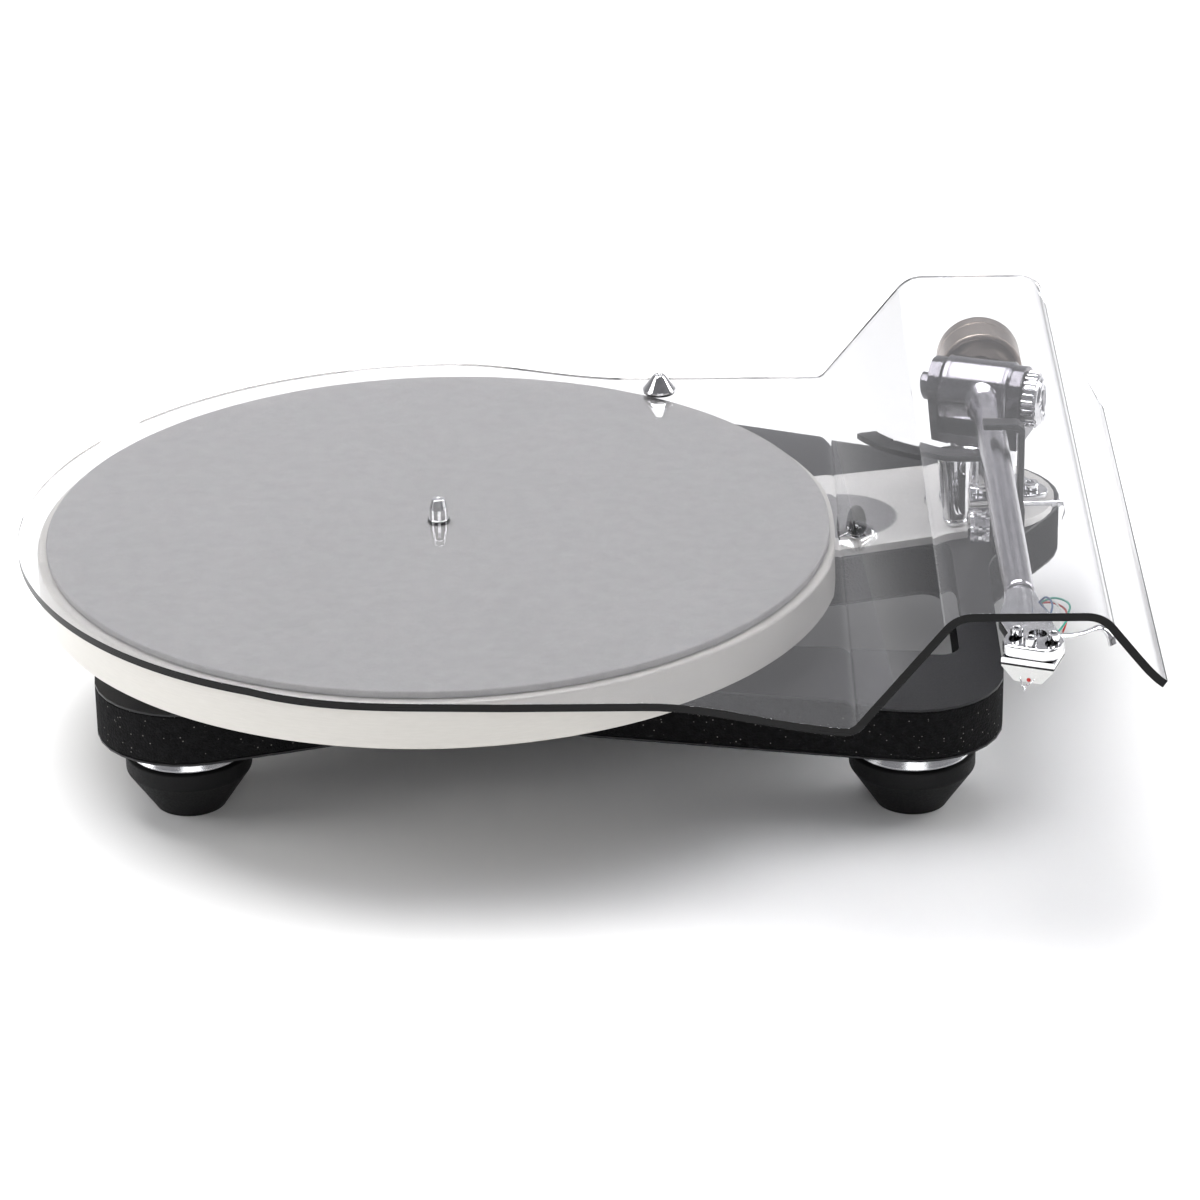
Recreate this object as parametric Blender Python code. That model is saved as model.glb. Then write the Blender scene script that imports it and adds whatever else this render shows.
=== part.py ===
"""Turntable record player: skeletal plinth, belt drive, pivoted tonearm and a bent clear cover."""

import math

import bmesh
import bpy
from mathutils import Euler, Matrix, Vector

MM = 0.001
GAP = 0.3  # clearance between pieces that seat on each other

# ---- feet -------------------------------------------------------------------------------------
FOOT_PLACES = {"front_left": (-91, -69), "front_right": (175, -72), "rear": (104, 130)}
FOOT_BASE_R = 13.0
FOOT_TOP_R = 23.2
FOOT_HEIGHT = 22.0
FOOT_RING_R = 20.5
FOOT_RING_HEIGHT = 3.4
FOOT_SEAT_R = 18.0
FOOT_SEAT_HEIGHT = 4.0

# ---- plinth: circles that its outline runs round, (x, y, radius), hollow ones negative ---------
PLINTH_CIRCLES = [(-90, -68, 34), (14, -133, -60), (175, -70, 33), (240, 14, -32), (204, 86, 36.5),
                  (104, 130.5, 33), (-76, 112, -90)]
PLINTH_HEIGHT = 21.0
SKIN_THICKNESS = 1.0
WINDOW_CORNERS = [(72, -47), (193, -57), (193, 42), (72, 4)]
WINDOW_CORNER_R = 7.0

# ---- braces from the main bearing to the tonearm ------------------------------------------------
TOP_BRACE_CIRCLES = [(0, 0, 22), (205, 80, 33), (0, 34, 28)]
BOTTOM_BRACE_CIRCLES = [(0, 0, 20), (200, 82, 20), (0, 12, 20)]
BRACE_THICKNESS = 3.0

# ---- main bearing, platter and mat --------------------------------------------------------------
BEARING_BORE_R = 5.5
BEARING_WALL = 5.0
BEARING_FLANGE_R = 17.0
BEARING_FLANGE_HEIGHT = 2.4
BEARING_BELOW_PLINTH = 8.0
BEARING_FLOOR = 3.0
BALL_R = 2.5
SUB_PLATTER_R = 45.0
SUB_PLATTER_HEIGHT = 9.0
BELT_R = 0.9
BELT_SPACING = 4.0
PLATTER_R = 150.5
PLATTER_HEIGHT = 16.0
PLATTER_CLEARANCE = 6.0  # above the top brace
PLATTER_WEB = 8.0
PLATTER_RECESS_R = 108.0
PLATTER_EDGE_R = 1.2
MAT_R = 147.0
MAT_THICKNESS = 2.6
SPINDLE_R = 3.5
SPINDLE_ABOVE_COVER = 8.3

# ---- motor --------------------------------------------------------------------------------------
MOTOR_PLACE = (-60, -36)
MOTOR_R = 20.0
MOTOR_BELOW_PLINTH = 2.5
MOTOR_RIM_WIDTH = 6.0
MOTOR_RIM_HEIGHT = 2.0
PULLEY_R = 6.5
PULLEY_FLANGE_R = 8.0
PULLEY_HEIGHT = 9.0
FITTING_BORE_R = 2.2  # of the two fittings on the rear face

# ---- tonearm ------------------------------------------------------------------------------------
PIVOT = (210, 84)
ARM_AXIS_ABOVE_PLATE = 41.0  # axis of the tube above the top of the plinth brace
FLANGE_THICKNESS = 3.0
FLANGE_SCREW_CIRCLE_R = 19.5
FLANGE_LOBE_R = 7.0
FLANGE_SCREW_R = 3.4
FLANGE_SCREW_HEIGHT = 2.4
FLANGE_FIRST_ANGLE = -20
PILLAR_R = 13.0
BARREL_R = 13.5
BARREL_LEFT = 15.5
BARREL_RIGHT = 12.0
CHEEK_THICKNESS = 4.5
CHEEK_TOP_R = 12.5
YOKE_BASE_THICKNESS = 4.0
YOKE_DEPTH = 24.0
YOKE_TURN = -20.0  # degrees: the pitch axis is square to the cartridge, not to the tube
AXLE_R = 2.0
CAP_R = 5.5
CAP_THICKNESS = 3.0
DIAL_R = 11.0
DIAL_THICKNESS = 8.0
DIAL_RIBS = 20
TUBE_R = 5.7
TUBE_REACH = 190.0  # from the pivot to the headshell
HEADSHELL_NOSE = 3.0  # plate behind the stylus, from here
HEADSHELL_TAIL = 15.0  # to here, then it tapers to the tube
HEADSHELL_THICKNESS = 4.5
HEADSHELL_WIDTH = 20.5
HEADSHELL_TURN = 20.0  # degrees, towards the spindle
STUB_R = 5.0
STUB_LENGTH = 26.0
WEIGHT_R = 16.5
WEIGHT_THICKNESS = 20.0
WEIGHT_DISH_R = 13.5
WEIGHT_DISH_DEPTH = 5.0
WEIGHT_FROM_BARREL = 4.0
EFFECTIVE_LENGTH = 237.5
STYLUS_OFFSET = -1.5  # from the tube's axis, towards the spindle
STYLUS_DROP = 13.2  # below the axis of the tube
CARTRIDGE_HEIGHT = 9.0
CARTRIDGE_LENGTH = 15.0
CARTRIDGE_WIDTH = 19.0
CARTRIDGE_SCREWS = [(-6.5, 12.5), (6.5, 12.5), (0, 6.5)]
CAP_SCREW_R = 2.3
CAP_SCREW_HEIGHT = 2.6
LEAD_R = 0.4
FINGER_R = 1.1
FINGER_BEHIND_CORNER = 7.0  # where the finger lift leaves the plate's side
FINGER_PATH = [(0, 0, 0), (4, -0.5, 0.7), (8, -1, 1.8), (11, -1.2, 3.2), (13.5, -1.5, 3.9), (15.5, -2, 3.1),
               (17, -2.8, 1.2), (18, -3.5, -1.5)]  # outwards, forwards, upwards

# ---- lift, rest and knob ------------------------------------------------------------------------
LIFT_PLACE = (-14.0, -30.0)  # lift cylinder from the pivot
LIFT_CYLINDER_R = 7.2
LIFT_ARC_OUTER_R = 47.0  # from the pivot to its free end
LIFT_ARC_INNER_R = 37.0  # and to its end under the tube
LIFT_ARC_WIDTH = 8.0
LIFT_ARC_FROM = 198.0
LIFT_ARC_TO = 268.0
LIFT_THICKNESS = 2.4
LIFT_BELOW_TUBE = 3.6
REST_OFFSET = -56.0  # clip from the pivot, along the tube
REST_WIDTH = 7.0
REST_WALL = 2.4
REST_CLEARANCE = 3.0
LIFT_BLOCK_SIZE = (12.0, 26.0)
LIFT_BLOCK_PLACE = (0.0, -61.0)  # its near left corner, from the pivot
LIFT_BLOCK_ABOVE_LEVER = 5.0
LEVER_ABOVE_PLATE = 13.0
LEVER_FROM_PIVOT = -44.0
LEVER_R = 1.5
LEVER_LENGTH = 14.0
KNOB_R = 7.0
KNOB_THICKNESS = 9.0
KNOB_ABOVE_PLATE = 8.5
KNOB_FROM_PIVOT = -54.0
STUD_PLACE = (160.5, 41)
STUD_R = 4.0
STUD_HEIGHT = 12.5

# ---- cover --------------------------------------------------------------------------------------
COVER_THICKNESS = 3.0
COVER_R = 157.5
COVER_FRONT_FLAT = -160.5
COVER_REAR = 140.0
HUMP_FRONT = -182.0
HUMP_HEIGHT = 42.8
FOLD_1 = 148.0
FOLD_2 = 182.4
FOLD_3 = 232.5
TIP_X = 254.5
TIP_DROP = 27.5
TIP_REAR = 62.0
TIP_FLARE = 2.0
FOLD_RADIUS = 9.0
SPINDLE_HOLE_R = SPINDLE_R + 0.6
KNOB_PLACE = (83, 124)

# ---- heights that follow ------------------------------------------------------------------------
PLINTH_BOTTOM = FOOT_HEIGHT + FOOT_RING_HEIGHT + FOOT_SEAT_HEIGHT + 3 * GAP
PLINTH_TOP = PLINTH_BOTTOM + PLINTH_HEIGHT
BRACE_TOP = PLINTH_TOP + GAP + BRACE_THICKNESS
PLATTER_BOTTOM = BRACE_TOP + PLATTER_CLEARANCE
PLATTER_TOP = PLATTER_BOTTOM + PLATTER_HEIGHT
RECESS_TOP = PLATTER_TOP - PLATTER_WEB
MAT_TOP = PLATTER_TOP + GAP + MAT_THICKNESS
COVER_BOTTOM = MAT_TOP + GAP
COVER_TOP = COVER_BOTTOM + COVER_THICKNESS
HUMP_TOP = COVER_TOP + HUMP_HEIGHT
ARM_Z = BRACE_TOP + ARM_AXIS_ABOVE_PLATE
SUB_TOP = RECESS_TOP - GAP
SUB_BOTTOM = SUB_TOP - SUB_PLATTER_HEIGHT
REAR_EDGE = PLINTH_CIRCLES[5][1] + PLINTH_CIRCLES[5][2]

# The frame's origin is under the middle of the whole object; drawings are from the spindle's axis.
CENTRE = Vector(((TIP_X - COVER_R) / 2, (REAR_EDGE + HUMP_FRONT) / 2, 0))

MATERIALS = {
    "rubber": ((0.02, 0.02, 0.02), 0.0, 0.8),
    "aluminium": ((0.75, 0.75, 0.77), 1.0, 0.3),
    "polished": ((0.8, 0.8, 0.82), 1.0, 0.12),
    "dark_metal": ((0.3, 0.3, 0.32), 1.0, 0.25),
    "tungsten": ((0.35, 0.31, 0.28), 1.0, 0.3),
    "brass": ((0.75, 0.55, 0.25), 1.0, 0.3),
    "foam": ((0.03, 0.03, 0.03), 0.0, 0.85),
    "laminate": ((0.02, 0.02, 0.022), 0.0, 0.4),
    "ceramic": ((0.8, 0.79, 0.76), 0.0, 0.2),
    "felt": ((0.45, 0.44, 0.43), 0.0, 0.95),
    "belt": ((0.8, 0.8, 0.75), 0.0, 0.6),
    "black_plastic": ((0.02, 0.02, 0.02), 0.0, 0.4),
    "white_plastic": ((0.85, 0.85, 0.84), 0.0, 0.35),
    "blue_lead": ((0.05, 0.15, 0.5), 0.0, 0.5),
    "green_lead": ((0.05, 0.4, 0.2), 0.0, 0.5),
    "red_lead": ((0.6, 0.03, 0.03), 0.0, 0.5),
    "white_lead": ((0.8, 0.8, 0.8), 0.0, 0.5),
    "acrylic": ((0.85, 0.85, 0.9), 0.0, 0.05),
}


def clear_scene():
    for obj in list(bpy.data.objects):
        bpy.data.objects.remove(obj)


def material(name, colour, metallic, roughness):
    made = bpy.data.materials.new(name)
    made.use_nodes = True
    shader = made.node_tree.nodes["Principled BSDF"]
    shader.inputs["Base Color"].default_value = (*colour, 1)
    shader.inputs["Metallic"].default_value = metallic
    shader.inputs["Roughness"].default_value = roughness
    return made


def finish(name, mesh_builder, look, at, turn=(0, 0, 0)):
    """The object of a filled bmesh, in millimetres about its own point, with normals outward."""
    bmesh.ops.recalc_face_normals(mesh_builder, faces=mesh_builder.faces)
    bmesh.ops.scale(mesh_builder, vec=(MM, MM, MM), verts=mesh_builder.verts)
    mesh = bpy.data.meshes.new(name)
    mesh_builder.to_mesh(mesh)
    mesh_builder.free()
    obj = bpy.data.objects.new(name, mesh)
    place(obj, at, turn)
    if look is None:
        obj.hide_render = True
        obj.display_type = "WIRE"
        bpy.data.collections["cutters"].objects.link(obj)
    else:
        bpy.context.scene.collection.objects.link(obj)
        mesh.materials.append(material(name, *MATERIALS[look]))
    return obj


def place(obj, at, turn=(0, 0, 0)):
    obj.location = (Vector(at) - CENTRE) * MM
    obj.rotation_euler = Euler([math.radians(a) for a in turn])


def tangent_outline(circles, step=7.0):
    """Points of the outline that runs round the circles in turn; a negative radius is a hollow."""
    count = len(circles)
    normals = []
    for i in range(count):
        x1, y1, r1 = circles[i]
        x2, y2, r2 = circles[(i + 1) % count]
        heading = math.atan2(y2 - y1, x2 - x1)
        normals.append(heading + math.acos((r2 - r1) / math.hypot(x2 - x1, y2 - y1)))
    points = []
    for i, (x, y, r) in enumerate(circles):
        first, last = normals[i - 1], normals[i]
        sweep = (last - first) % (2 * math.pi)
        if r < 0:
            sweep -= 2 * math.pi
        steps = max(3, round(abs(sweep * r) / step))
        for k in range(steps + 1):
            angle = first + sweep * k / steps
            points.append((x - r * math.cos(angle), y - r * math.sin(angle)))
    return points


def rounded_outline(corners, radius, steps=5):
    """Points of a convex outline with every corner rounded, from corners in anticlockwise order."""
    points = []
    for i, corner in enumerate(corners):
        here = Vector(corner)
        before = (Vector(corners[i - 1]) - here).normalized()
        after = (Vector(corners[(i + 1) % len(corners)]) - here).normalized()
        half = before.angle(after) / 2
        centre = here + (before + after).normalized() * radius / math.sin(half)
        start = here + before * radius / math.tan(half) - centre
        end = here + after * radius / math.tan(half) - centre
        turn = start.angle_signed(end)
        for k in range(steps + 1):
            angle = math.atan2(start.y, start.x) - turn * k / steps
            points.append((centre.x + radius * math.cos(angle), centre.y + radius * math.sin(angle)))
    return points


def plate(name, outline, bottom, top, look, at=(0, 0, 0), turn=(0, 0, 0)):
    """An outline made solid from one height to another."""
    made = bmesh.new()
    lower = [made.verts.new((x, y, bottom)) for x, y in outline]
    upper = [made.verts.new((x, y, top)) for x, y in outline]
    made.faces.new(lower)
    made.faces.new(upper)
    for i in range(len(outline)):
        j = (i + 1) % len(outline)
        made.faces.new((lower[i], lower[j], upper[j], upper[i]))
    return finish(name, made, look, at, turn)


def lathe(name, profile, look, at=(0, 0, 0), turn=(0, 0, 0), count=40, ribs=0.0):
    """A closed profile of (radius, height) turned round the z axis; a radius of 0 is on the axis."""
    made = bmesh.new()
    rings = []
    for radius, height in profile:
        if radius == 0:
            rings.append([made.verts.new((0, 0, height))] * count)
            continue
        ring = []
        for i in range(count):
            angle = 2 * math.pi * i / count
            grown = radius + (ribs if i % 2 else 0)
            ring.append(made.verts.new((grown * math.cos(angle), grown * math.sin(angle), height)))
        rings.append(ring)
    on_axis = profile[0][0] == 0 and profile[-1][0] == 0
    for a in range(len(rings) - 1 if on_axis else len(rings)):
        one, other = rings[a], rings[(a + 1) % len(rings)]
        for i in range(count):
            j = (i + 1) % count
            corners = []
            for corner in (one[i], one[j], other[j], other[i]):
                if corner not in corners:
                    corners.append(corner)
            if len(corners) > 2:
                made.faces.new(corners)
    return finish(name, made, look, at, turn)


def disc(name, radius, bottom, top, look, at=(0, 0, 0), turn=(0, 0, 0), count=40, edge=0.0, ribs=0.0):
    """A disc or a pin with both its edges broken."""
    profile = [(0, bottom), (radius - edge, bottom)]
    if edge:
        profile += [(radius, bottom + edge), (radius, top - edge)]
        profile += [(radius - edge, top), (0, top)]
    else:
        profile += [(radius, top), (0, top)]
    return lathe(name, profile, look, at, turn, count, ribs)


def ring(name, inner, outer, bottom, top, look, at=(0, 0, 0), turn=(0, 0, 0), count=40):
    profile = [(inner, bottom), (outer, bottom), (outer, top), (inner, top)]
    return lathe(name, profile, look, at, turn, count)


def skin(made, rows):
    """Walls between rows of corners in turn, and a face over each end."""
    for one, other in zip(rows, rows[1:]):
        for i in range(len(one)):
            j = (i + 1) % len(one)
            made.faces.new((one[i], one[j], other[j], other[i]))
    made.faces.new(rows[0])
    made.faces.new(rows[-1])


def rod(name, path, radius, look, at=(0, 0, 0), sides=8):
    """A round rod along a path of points, closed at both ends, or all the way round if it returns."""
    points = [Vector(p) for p in path]
    looped = (points[0] - points[-1]).length < 1e-6
    if looped:
        points = points[:-1]
    count = len(points)
    made = bmesh.new()
    rings = []
    side = None
    for i, point in enumerate(points):
        back = points[i - 1] if i or looped else point
        ahead = points[(i + 1) % count] if i < count - 1 or looped else point
        along = (ahead - back).normalized()
        if side is None:
            side = along.orthogonal().normalized()
        side = (side - along * side.dot(along)).normalized()
        across = along.cross(side)
        turns = [2 * math.pi * k / sides for k in range(sides)]
        rings.append([made.verts.new(point + (side * math.cos(t) + across * math.sin(t)) * radius)
                      for t in turns])
    for i in range(count if looped else count - 1):
        one, other = rings[i], rings[(i + 1) % count]
        for k in range(sides):
            m = (k + 1) % sides
            made.faces.new((one[k], one[m], other[m], other[k]))
    if not looped:
        made.faces.new(rings[0])
        made.faces.new(rings[-1])
    return finish(name, made, look, at)


def join(obj, other, operation):
    boolean = obj.modifiers.new(other.name, "BOOLEAN")
    boolean.operation = operation
    boolean.solver = "EXACT"
    boolean.object = other


def cut(obj, *cutters):
    for cutter in cutters:
        join(obj, cutter, "DIFFERENCE")


def feet():
    for place_name, (x, y) in FOOT_PLACES.items():
        profile = [(0, 0), (FOOT_BASE_R - 1, 0), (FOOT_BASE_R, 1), (FOOT_TOP_R, FOOT_HEIGHT - 6),
                   (FOOT_TOP_R, FOOT_HEIGHT - 1), (FOOT_TOP_R - 1, FOOT_HEIGHT), (0, FOOT_HEIGHT)]
        lathe("foot_cone_" + place_name, profile, "rubber", (x, y, 0))
        low = FOOT_HEIGHT + GAP
        disc("foot_ring_" + place_name, FOOT_RING_R, low, low + FOOT_RING_HEIGHT, "aluminium",
             (x, y, 0), edge=0.4)
        low += FOOT_RING_HEIGHT + GAP
        disc("foot_seat_" + place_name, FOOT_SEAT_R, low, low + FOOT_SEAT_HEIGHT, "rubber", (x, y, 0))


def plinth():
    outline = tangent_outline(PLINTH_CIRCLES)
    low, high = PLINTH_BOTTOM, PLINTH_TOP
    past = 5.0
    window = plate("window_cutter", rounded_outline(WINDOW_CORNERS, WINDOW_CORNER_R),
                   low - past, high + past, None)
    bearing = disc("bearing_cutter", BEARING_BORE_R + BEARING_WALL + GAP, low - past - BRACE_THICKNESS,
                   high + past, None)
    motor = disc("motor_cutter", MOTOR_R + GAP, low - past, high + past, None, (*MOTOR_PLACE, 0))
    layers = {
        "plinth_bottom_skin": (low, low + SKIN_THICKNESS, "laminate"),
        "plinth_core": (low + SKIN_THICKNESS + GAP, high - SKIN_THICKNESS - GAP, "foam"),
        "plinth_top_skin": (high - SKIN_THICKNESS, high, "laminate"),
    }
    for name, (bottom, top, look) in layers.items():
        cut(plate(name, outline, bottom, top, look), window, bearing, motor)
    cut(plate("top_brace", tangent_outline(TOP_BRACE_CIRCLES), high + GAP, BRACE_TOP, "ceramic"), bearing)
    cut(plate("bottom_brace", tangent_outline(BOTTOM_BRACE_CIRCLES), low - GAP - BRACE_THICKNESS,
              low - GAP, "laminate"), bearing)
    foot, r, tall = BRACE_TOP + GAP, STUD_R, STUD_HEIGHT
    lathe("brace_stud", [(0, foot), (r * 0.85, foot), (r, foot + tall * 0.2), (r, foot + tall * 0.5),
                         (r * 0.8, foot + tall * 0.8), (r * 0.4, foot + tall * 0.95), (0, foot + tall)],
          "black_plastic", (*STUD_PLACE, 0), count=28)
    rear_x, rear_y, rear_r = PLINTH_CIRCLES[5]
    gland_z = low + PLINTH_HEIGHT / 2
    # Both fittings stand on the plinth's rear face, which runs from the rear lobe to the tonearm's.
    arm_x, arm_y, arm_r = PLINTH_CIRCLES[4]
    run = Vector((rear_x - arm_x, rear_y - arm_y))
    heading = math.atan2(run.y, run.x) + math.acos((rear_r - arm_r) / run.length)
    out = Vector((-math.cos(heading), -math.sin(heading)))
    for name, share, radius, length, look in (("signal_gland", 0.25, 5.0, 8.0, "black_plastic"),
                                              ("power_inlet", 0.6, 4.5, 4.0, "aluminium")):
        foot = Vector((arm_x, arm_y)) + out * arm_r + run * share + out * (GAP + 0.4)
        turn = (90, 0, math.degrees(math.atan2(out.y, out.x)) + 90)
        ring(name, FITTING_BORE_R, radius, 0, length, look, (foot.x, foot.y, gland_z), turn, 24)


def main_bearing():
    low = PLINTH_BOTTOM - BEARING_BELOW_PLINTH
    bore = BEARING_BORE_R + GAP
    outer = BEARING_BORE_R + BEARING_WALL
    flange_low = BRACE_TOP + GAP
    flange_top = flange_low + BEARING_FLANGE_HEIGHT
    lathe("bearing_housing", [(0, low), (outer, low), (outer, flange_low), (BEARING_FLANGE_R, flange_low),
                              (BEARING_FLANGE_R, flange_top), (bore, flange_top),
                              (bore, low + BEARING_FLOOR), (0, low + BEARING_FLOOR)], "brass")
    ball_z = low + BEARING_FLOOR + GAP + BALL_R
    count = 8
    arc = [(BALL_R * math.sin(math.pi * k / count), ball_z - BALL_R * math.cos(math.pi * k / count))
           for k in range(count + 1)]
    arc[0], arc[-1] = (0, arc[0][1]), (0, arc[-1][1])
    lathe("thrust_ball", arc, "polished", count=20)
    shaft_low = ball_z + BALL_R + GAP
    hub_low = SUB_BOTTOM + 2
    top = COVER_TOP + SPINDLE_ABOVE_COVER
    lathe("spindle", [(0, shaft_low), (BEARING_BORE_R, shaft_low), (BEARING_BORE_R, hub_low),
                      (SPINDLE_R, hub_low), (SPINDLE_R, top - 3), (SPINDLE_R - 1.2, top - 0.4),
                      (SPINDLE_R - 1.8, top), (0, top)], "polished", count=32)
    middle = (SUB_TOP + SUB_BOTTOM) / 2
    groove = BELT_R + GAP
    profile = [(SPINDLE_R + GAP, SUB_BOTTOM + 2 + GAP), (SPINDLE_R + GAP, SUB_TOP), (SUB_PLATTER_R, SUB_TOP)]
    for z in (middle + BELT_SPACING / 2, middle - BELT_SPACING / 2):
        profile += [(SUB_PLATTER_R, z + groove), (SUB_PLATTER_R - groove, z + groove * 0.6),
                    (SUB_PLATTER_R - groove, z - groove * 0.6), (SUB_PLATTER_R, z - groove)]
    profile += [(SUB_PLATTER_R, SUB_BOTTOM), (BEARING_BORE_R + GAP, SUB_BOTTOM),
                (BEARING_BORE_R + GAP, SUB_BOTTOM + 2 + GAP)]
    lathe("sub_platter", profile, "aluminium", count=64)


def platter():
    edge = PLATTER_EDGE_R
    bore = SPINDLE_R + GAP
    lathe("platter", [(PLATTER_RECESS_R, PLATTER_BOTTOM), (PLATTER_R - edge, PLATTER_BOTTOM),
                      (PLATTER_R, PLATTER_BOTTOM + edge), (PLATTER_R, PLATTER_TOP - edge),
                      (PLATTER_R - edge, PLATTER_TOP), (bore, PLATTER_TOP), (bore, RECESS_TOP),
                      (PLATTER_RECESS_R, RECESS_TOP)], "ceramic", count=120)
    ring("platter_mat", bore, MAT_R, PLATTER_TOP + GAP, MAT_TOP, "felt", count=120)


def drive():
    x, y = MOTOR_PLACE
    top = PLINTH_TOP + GAP
    low = PLINTH_BOTTOM - MOTOR_BELOW_PLINTH
    disc("motor_can", MOTOR_R, low, top + MOTOR_RIM_HEIGHT, "dark_metal", (x, y, 0), edge=1)
    ring("motor_rim", MOTOR_R + GAP, MOTOR_R + MOTOR_RIM_WIDTH, top, top + MOTOR_RIM_HEIGHT,
         "aluminium", (x, y, 0))
    middle = (SUB_TOP + SUB_BOTTOM) / 2
    groove = BELT_R + GAP
    half = PULLEY_HEIGHT / 2
    profile = [(0, middle - half), (PULLEY_FLANGE_R, middle - half)]
    for z in (middle - BELT_SPACING / 2, middle + BELT_SPACING / 2):
        profile += [(PULLEY_FLANGE_R, z - groove), (PULLEY_R, z - groove * 0.6),
                    (PULLEY_R, z + groove * 0.6), (PULLEY_FLANGE_R, z + groove)]
    profile += [(PULLEY_FLANGE_R, middle + half), (0, middle + half)]
    lathe("motor_pulley", profile, "aluminium", (x, y, 0), count=32)
    wrap_big = SUB_PLATTER_R - groove + BELT_R + GAP
    wrap_small = PULLEY_R + BELT_R + GAP
    path = tangent_outline([(0, 0, wrap_big), (x, y, wrap_small)], step=2.5)
    path.append(path[0])
    for name, z in (("drive_belt_upper", middle + BELT_SPACING / 2),
                    ("drive_belt_lower", middle - BELT_SPACING / 2)):
        rod(name, [(px, py, z) for px, py in path], BELT_R, "belt", sides=6)


def arm_base():
    x, y = PIVOT
    low = BRACE_TOP + GAP
    top = low + FLANGE_THICKNESS
    circles = []
    for k in range(3):
        angle = math.radians(FLANGE_FIRST_ANGLE + 120 * k)
        circles.append((FLANGE_SCREW_CIRCLE_R * math.cos(angle),
                        FLANGE_SCREW_CIRCLE_R * math.sin(angle), FLANGE_LOBE_R))
    plate("arm_flange", tangent_outline(circles, step=3), low, top, "polished", (x, y, 0))
    for k, (sx, sy, _) in enumerate(circles):
        disc("flange_screw_%d" % (k + 1), FLANGE_SCREW_R, top + GAP, top + GAP + FLANGE_SCREW_HEIGHT,
             "polished", (x + sx, y + sy, 0), count=24, edge=0.4)
    yoke_low = ARM_Z - BARREL_R - GAP - YOKE_BASE_THICKNESS
    disc("arm_pillar", PILLAR_R, top + GAP, yoke_low - GAP, "polished", (x, y, 0), edge=0.6)


def arm_yoke():
    """Base and two cheeks, cut from one block so that it is one piece, with the axle's hole."""
    x, y = PIVOT
    left, right = BARREL_LEFT + GAP, BARREL_RIGHT + GAP
    bottom = -BARREL_R - GAP - YOKE_BASE_THICKNESS
    outline = [(-left - CHEEK_THICKNESS, bottom), (right + CHEEK_THICKNESS, bottom),
               (right + CHEEK_THICKNESS, CHEEK_TOP_R), (right, CHEEK_TOP_R), (right, -BARREL_R - GAP),
               (-left, -BARREL_R - GAP), (-left, CHEEK_TOP_R), (-left - CHEEK_THICKNESS, CHEEK_TOP_R)]
    half = YOKE_DEPTH / 2
    yoke = plate("arm_yoke", outline, -half, half, "dark_metal", (x, y, ARM_Z), (90, 0, YOKE_TURN))
    side = [(half + 0.1, bottom - 1), (half + 0.1, 0)]
    side += [(CHEEK_TOP_R * math.cos(math.pi * k / 16), CHEEK_TOP_R * math.sin(math.pi * k / 16))
             for k in range(17)]
    side += [(-half - 0.1, 0), (-half - 0.1, bottom - 1)]
    keep = plate("yoke_keeper", side, -left - 20, right + 20, None, (x, y, ARM_Z), (90, 0, 90 + YOKE_TURN))
    join(yoke, keep, "INTERSECT")
    along_axle = (0, 90, YOKE_TURN)
    hole = disc("axle_cutter", AXLE_R + GAP, -left - CHEEK_THICKNESS - 1, right + CHEEK_THICKNESS + 1,
                None, (x, y, ARM_Z), along_axle, 24)
    cut(yoke, hole)
    low, high = -left - CHEEK_THICKNESS, right + CHEEK_THICKNESS
    disc("pitch_axle", AXLE_R, low, high, "polished", (x, y, ARM_Z), along_axle, 24)
    disc("yoke_cap", CAP_R, low - GAP - CAP_THICKNESS, low - GAP, "polished", (x, y, ARM_Z), along_axle,
         32, 0.8)
    disc("force_dial", DIAL_R - 0.5, high + GAP, high + GAP + DIAL_THICKNESS, "polished", (x, y, ARM_Z),
         along_axle, 2 * DIAL_RIBS, 1.0, 0.5)
    return hole


def tonearm(axle_hole):
    """The barrel and the tube are one casting; the weight slides on a stub behind it."""
    x, y = PIVOT
    tube = disc("arm_tube", TUBE_R, BARREL_R / 2, TUBE_REACH, "aluminium", (x, y, ARM_Z), (90, 0, 0), 32,
                0.5)
    barrel = disc("barrel_form", BARREL_R, -BARREL_LEFT, BARREL_RIGHT, None, (x, y, ARM_Z),
                  (0, 90, YOKE_TURN), 48, 1.0)
    join(tube, barrel, "UNION")
    cut(tube, axle_hole)
    turn = math.radians(abs(YOKE_TURN))
    behind = BARREL_R / math.cos(turn) + STUB_R * math.tan(turn) + GAP
    disc("weight_stub", STUB_R, behind, behind + STUB_LENGTH, "aluminium", (x, y, ARM_Z), (-90, 0, 0), 28,
         0.5)
    near = behind + WEIGHT_FROM_BARREL
    far = near + WEIGHT_THICKNESS
    bore = STUB_R + GAP
    floor = near + WEIGHT_DISH_DEPTH
    lathe("counterweight", [(bore, floor), (WEIGHT_DISH_R * 0.7, floor), (WEIGHT_DISH_R, near + 1.5),
                            (WEIGHT_DISH_R + 2, near), (WEIGHT_R - 1, near), (WEIGHT_R, near + 1),
                            (WEIGHT_R, far - 1), (WEIGHT_R - 1, far), (bore, far)],
          "tungsten", (x, y, ARM_Z), (-90, 0, 0), 48)


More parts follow.
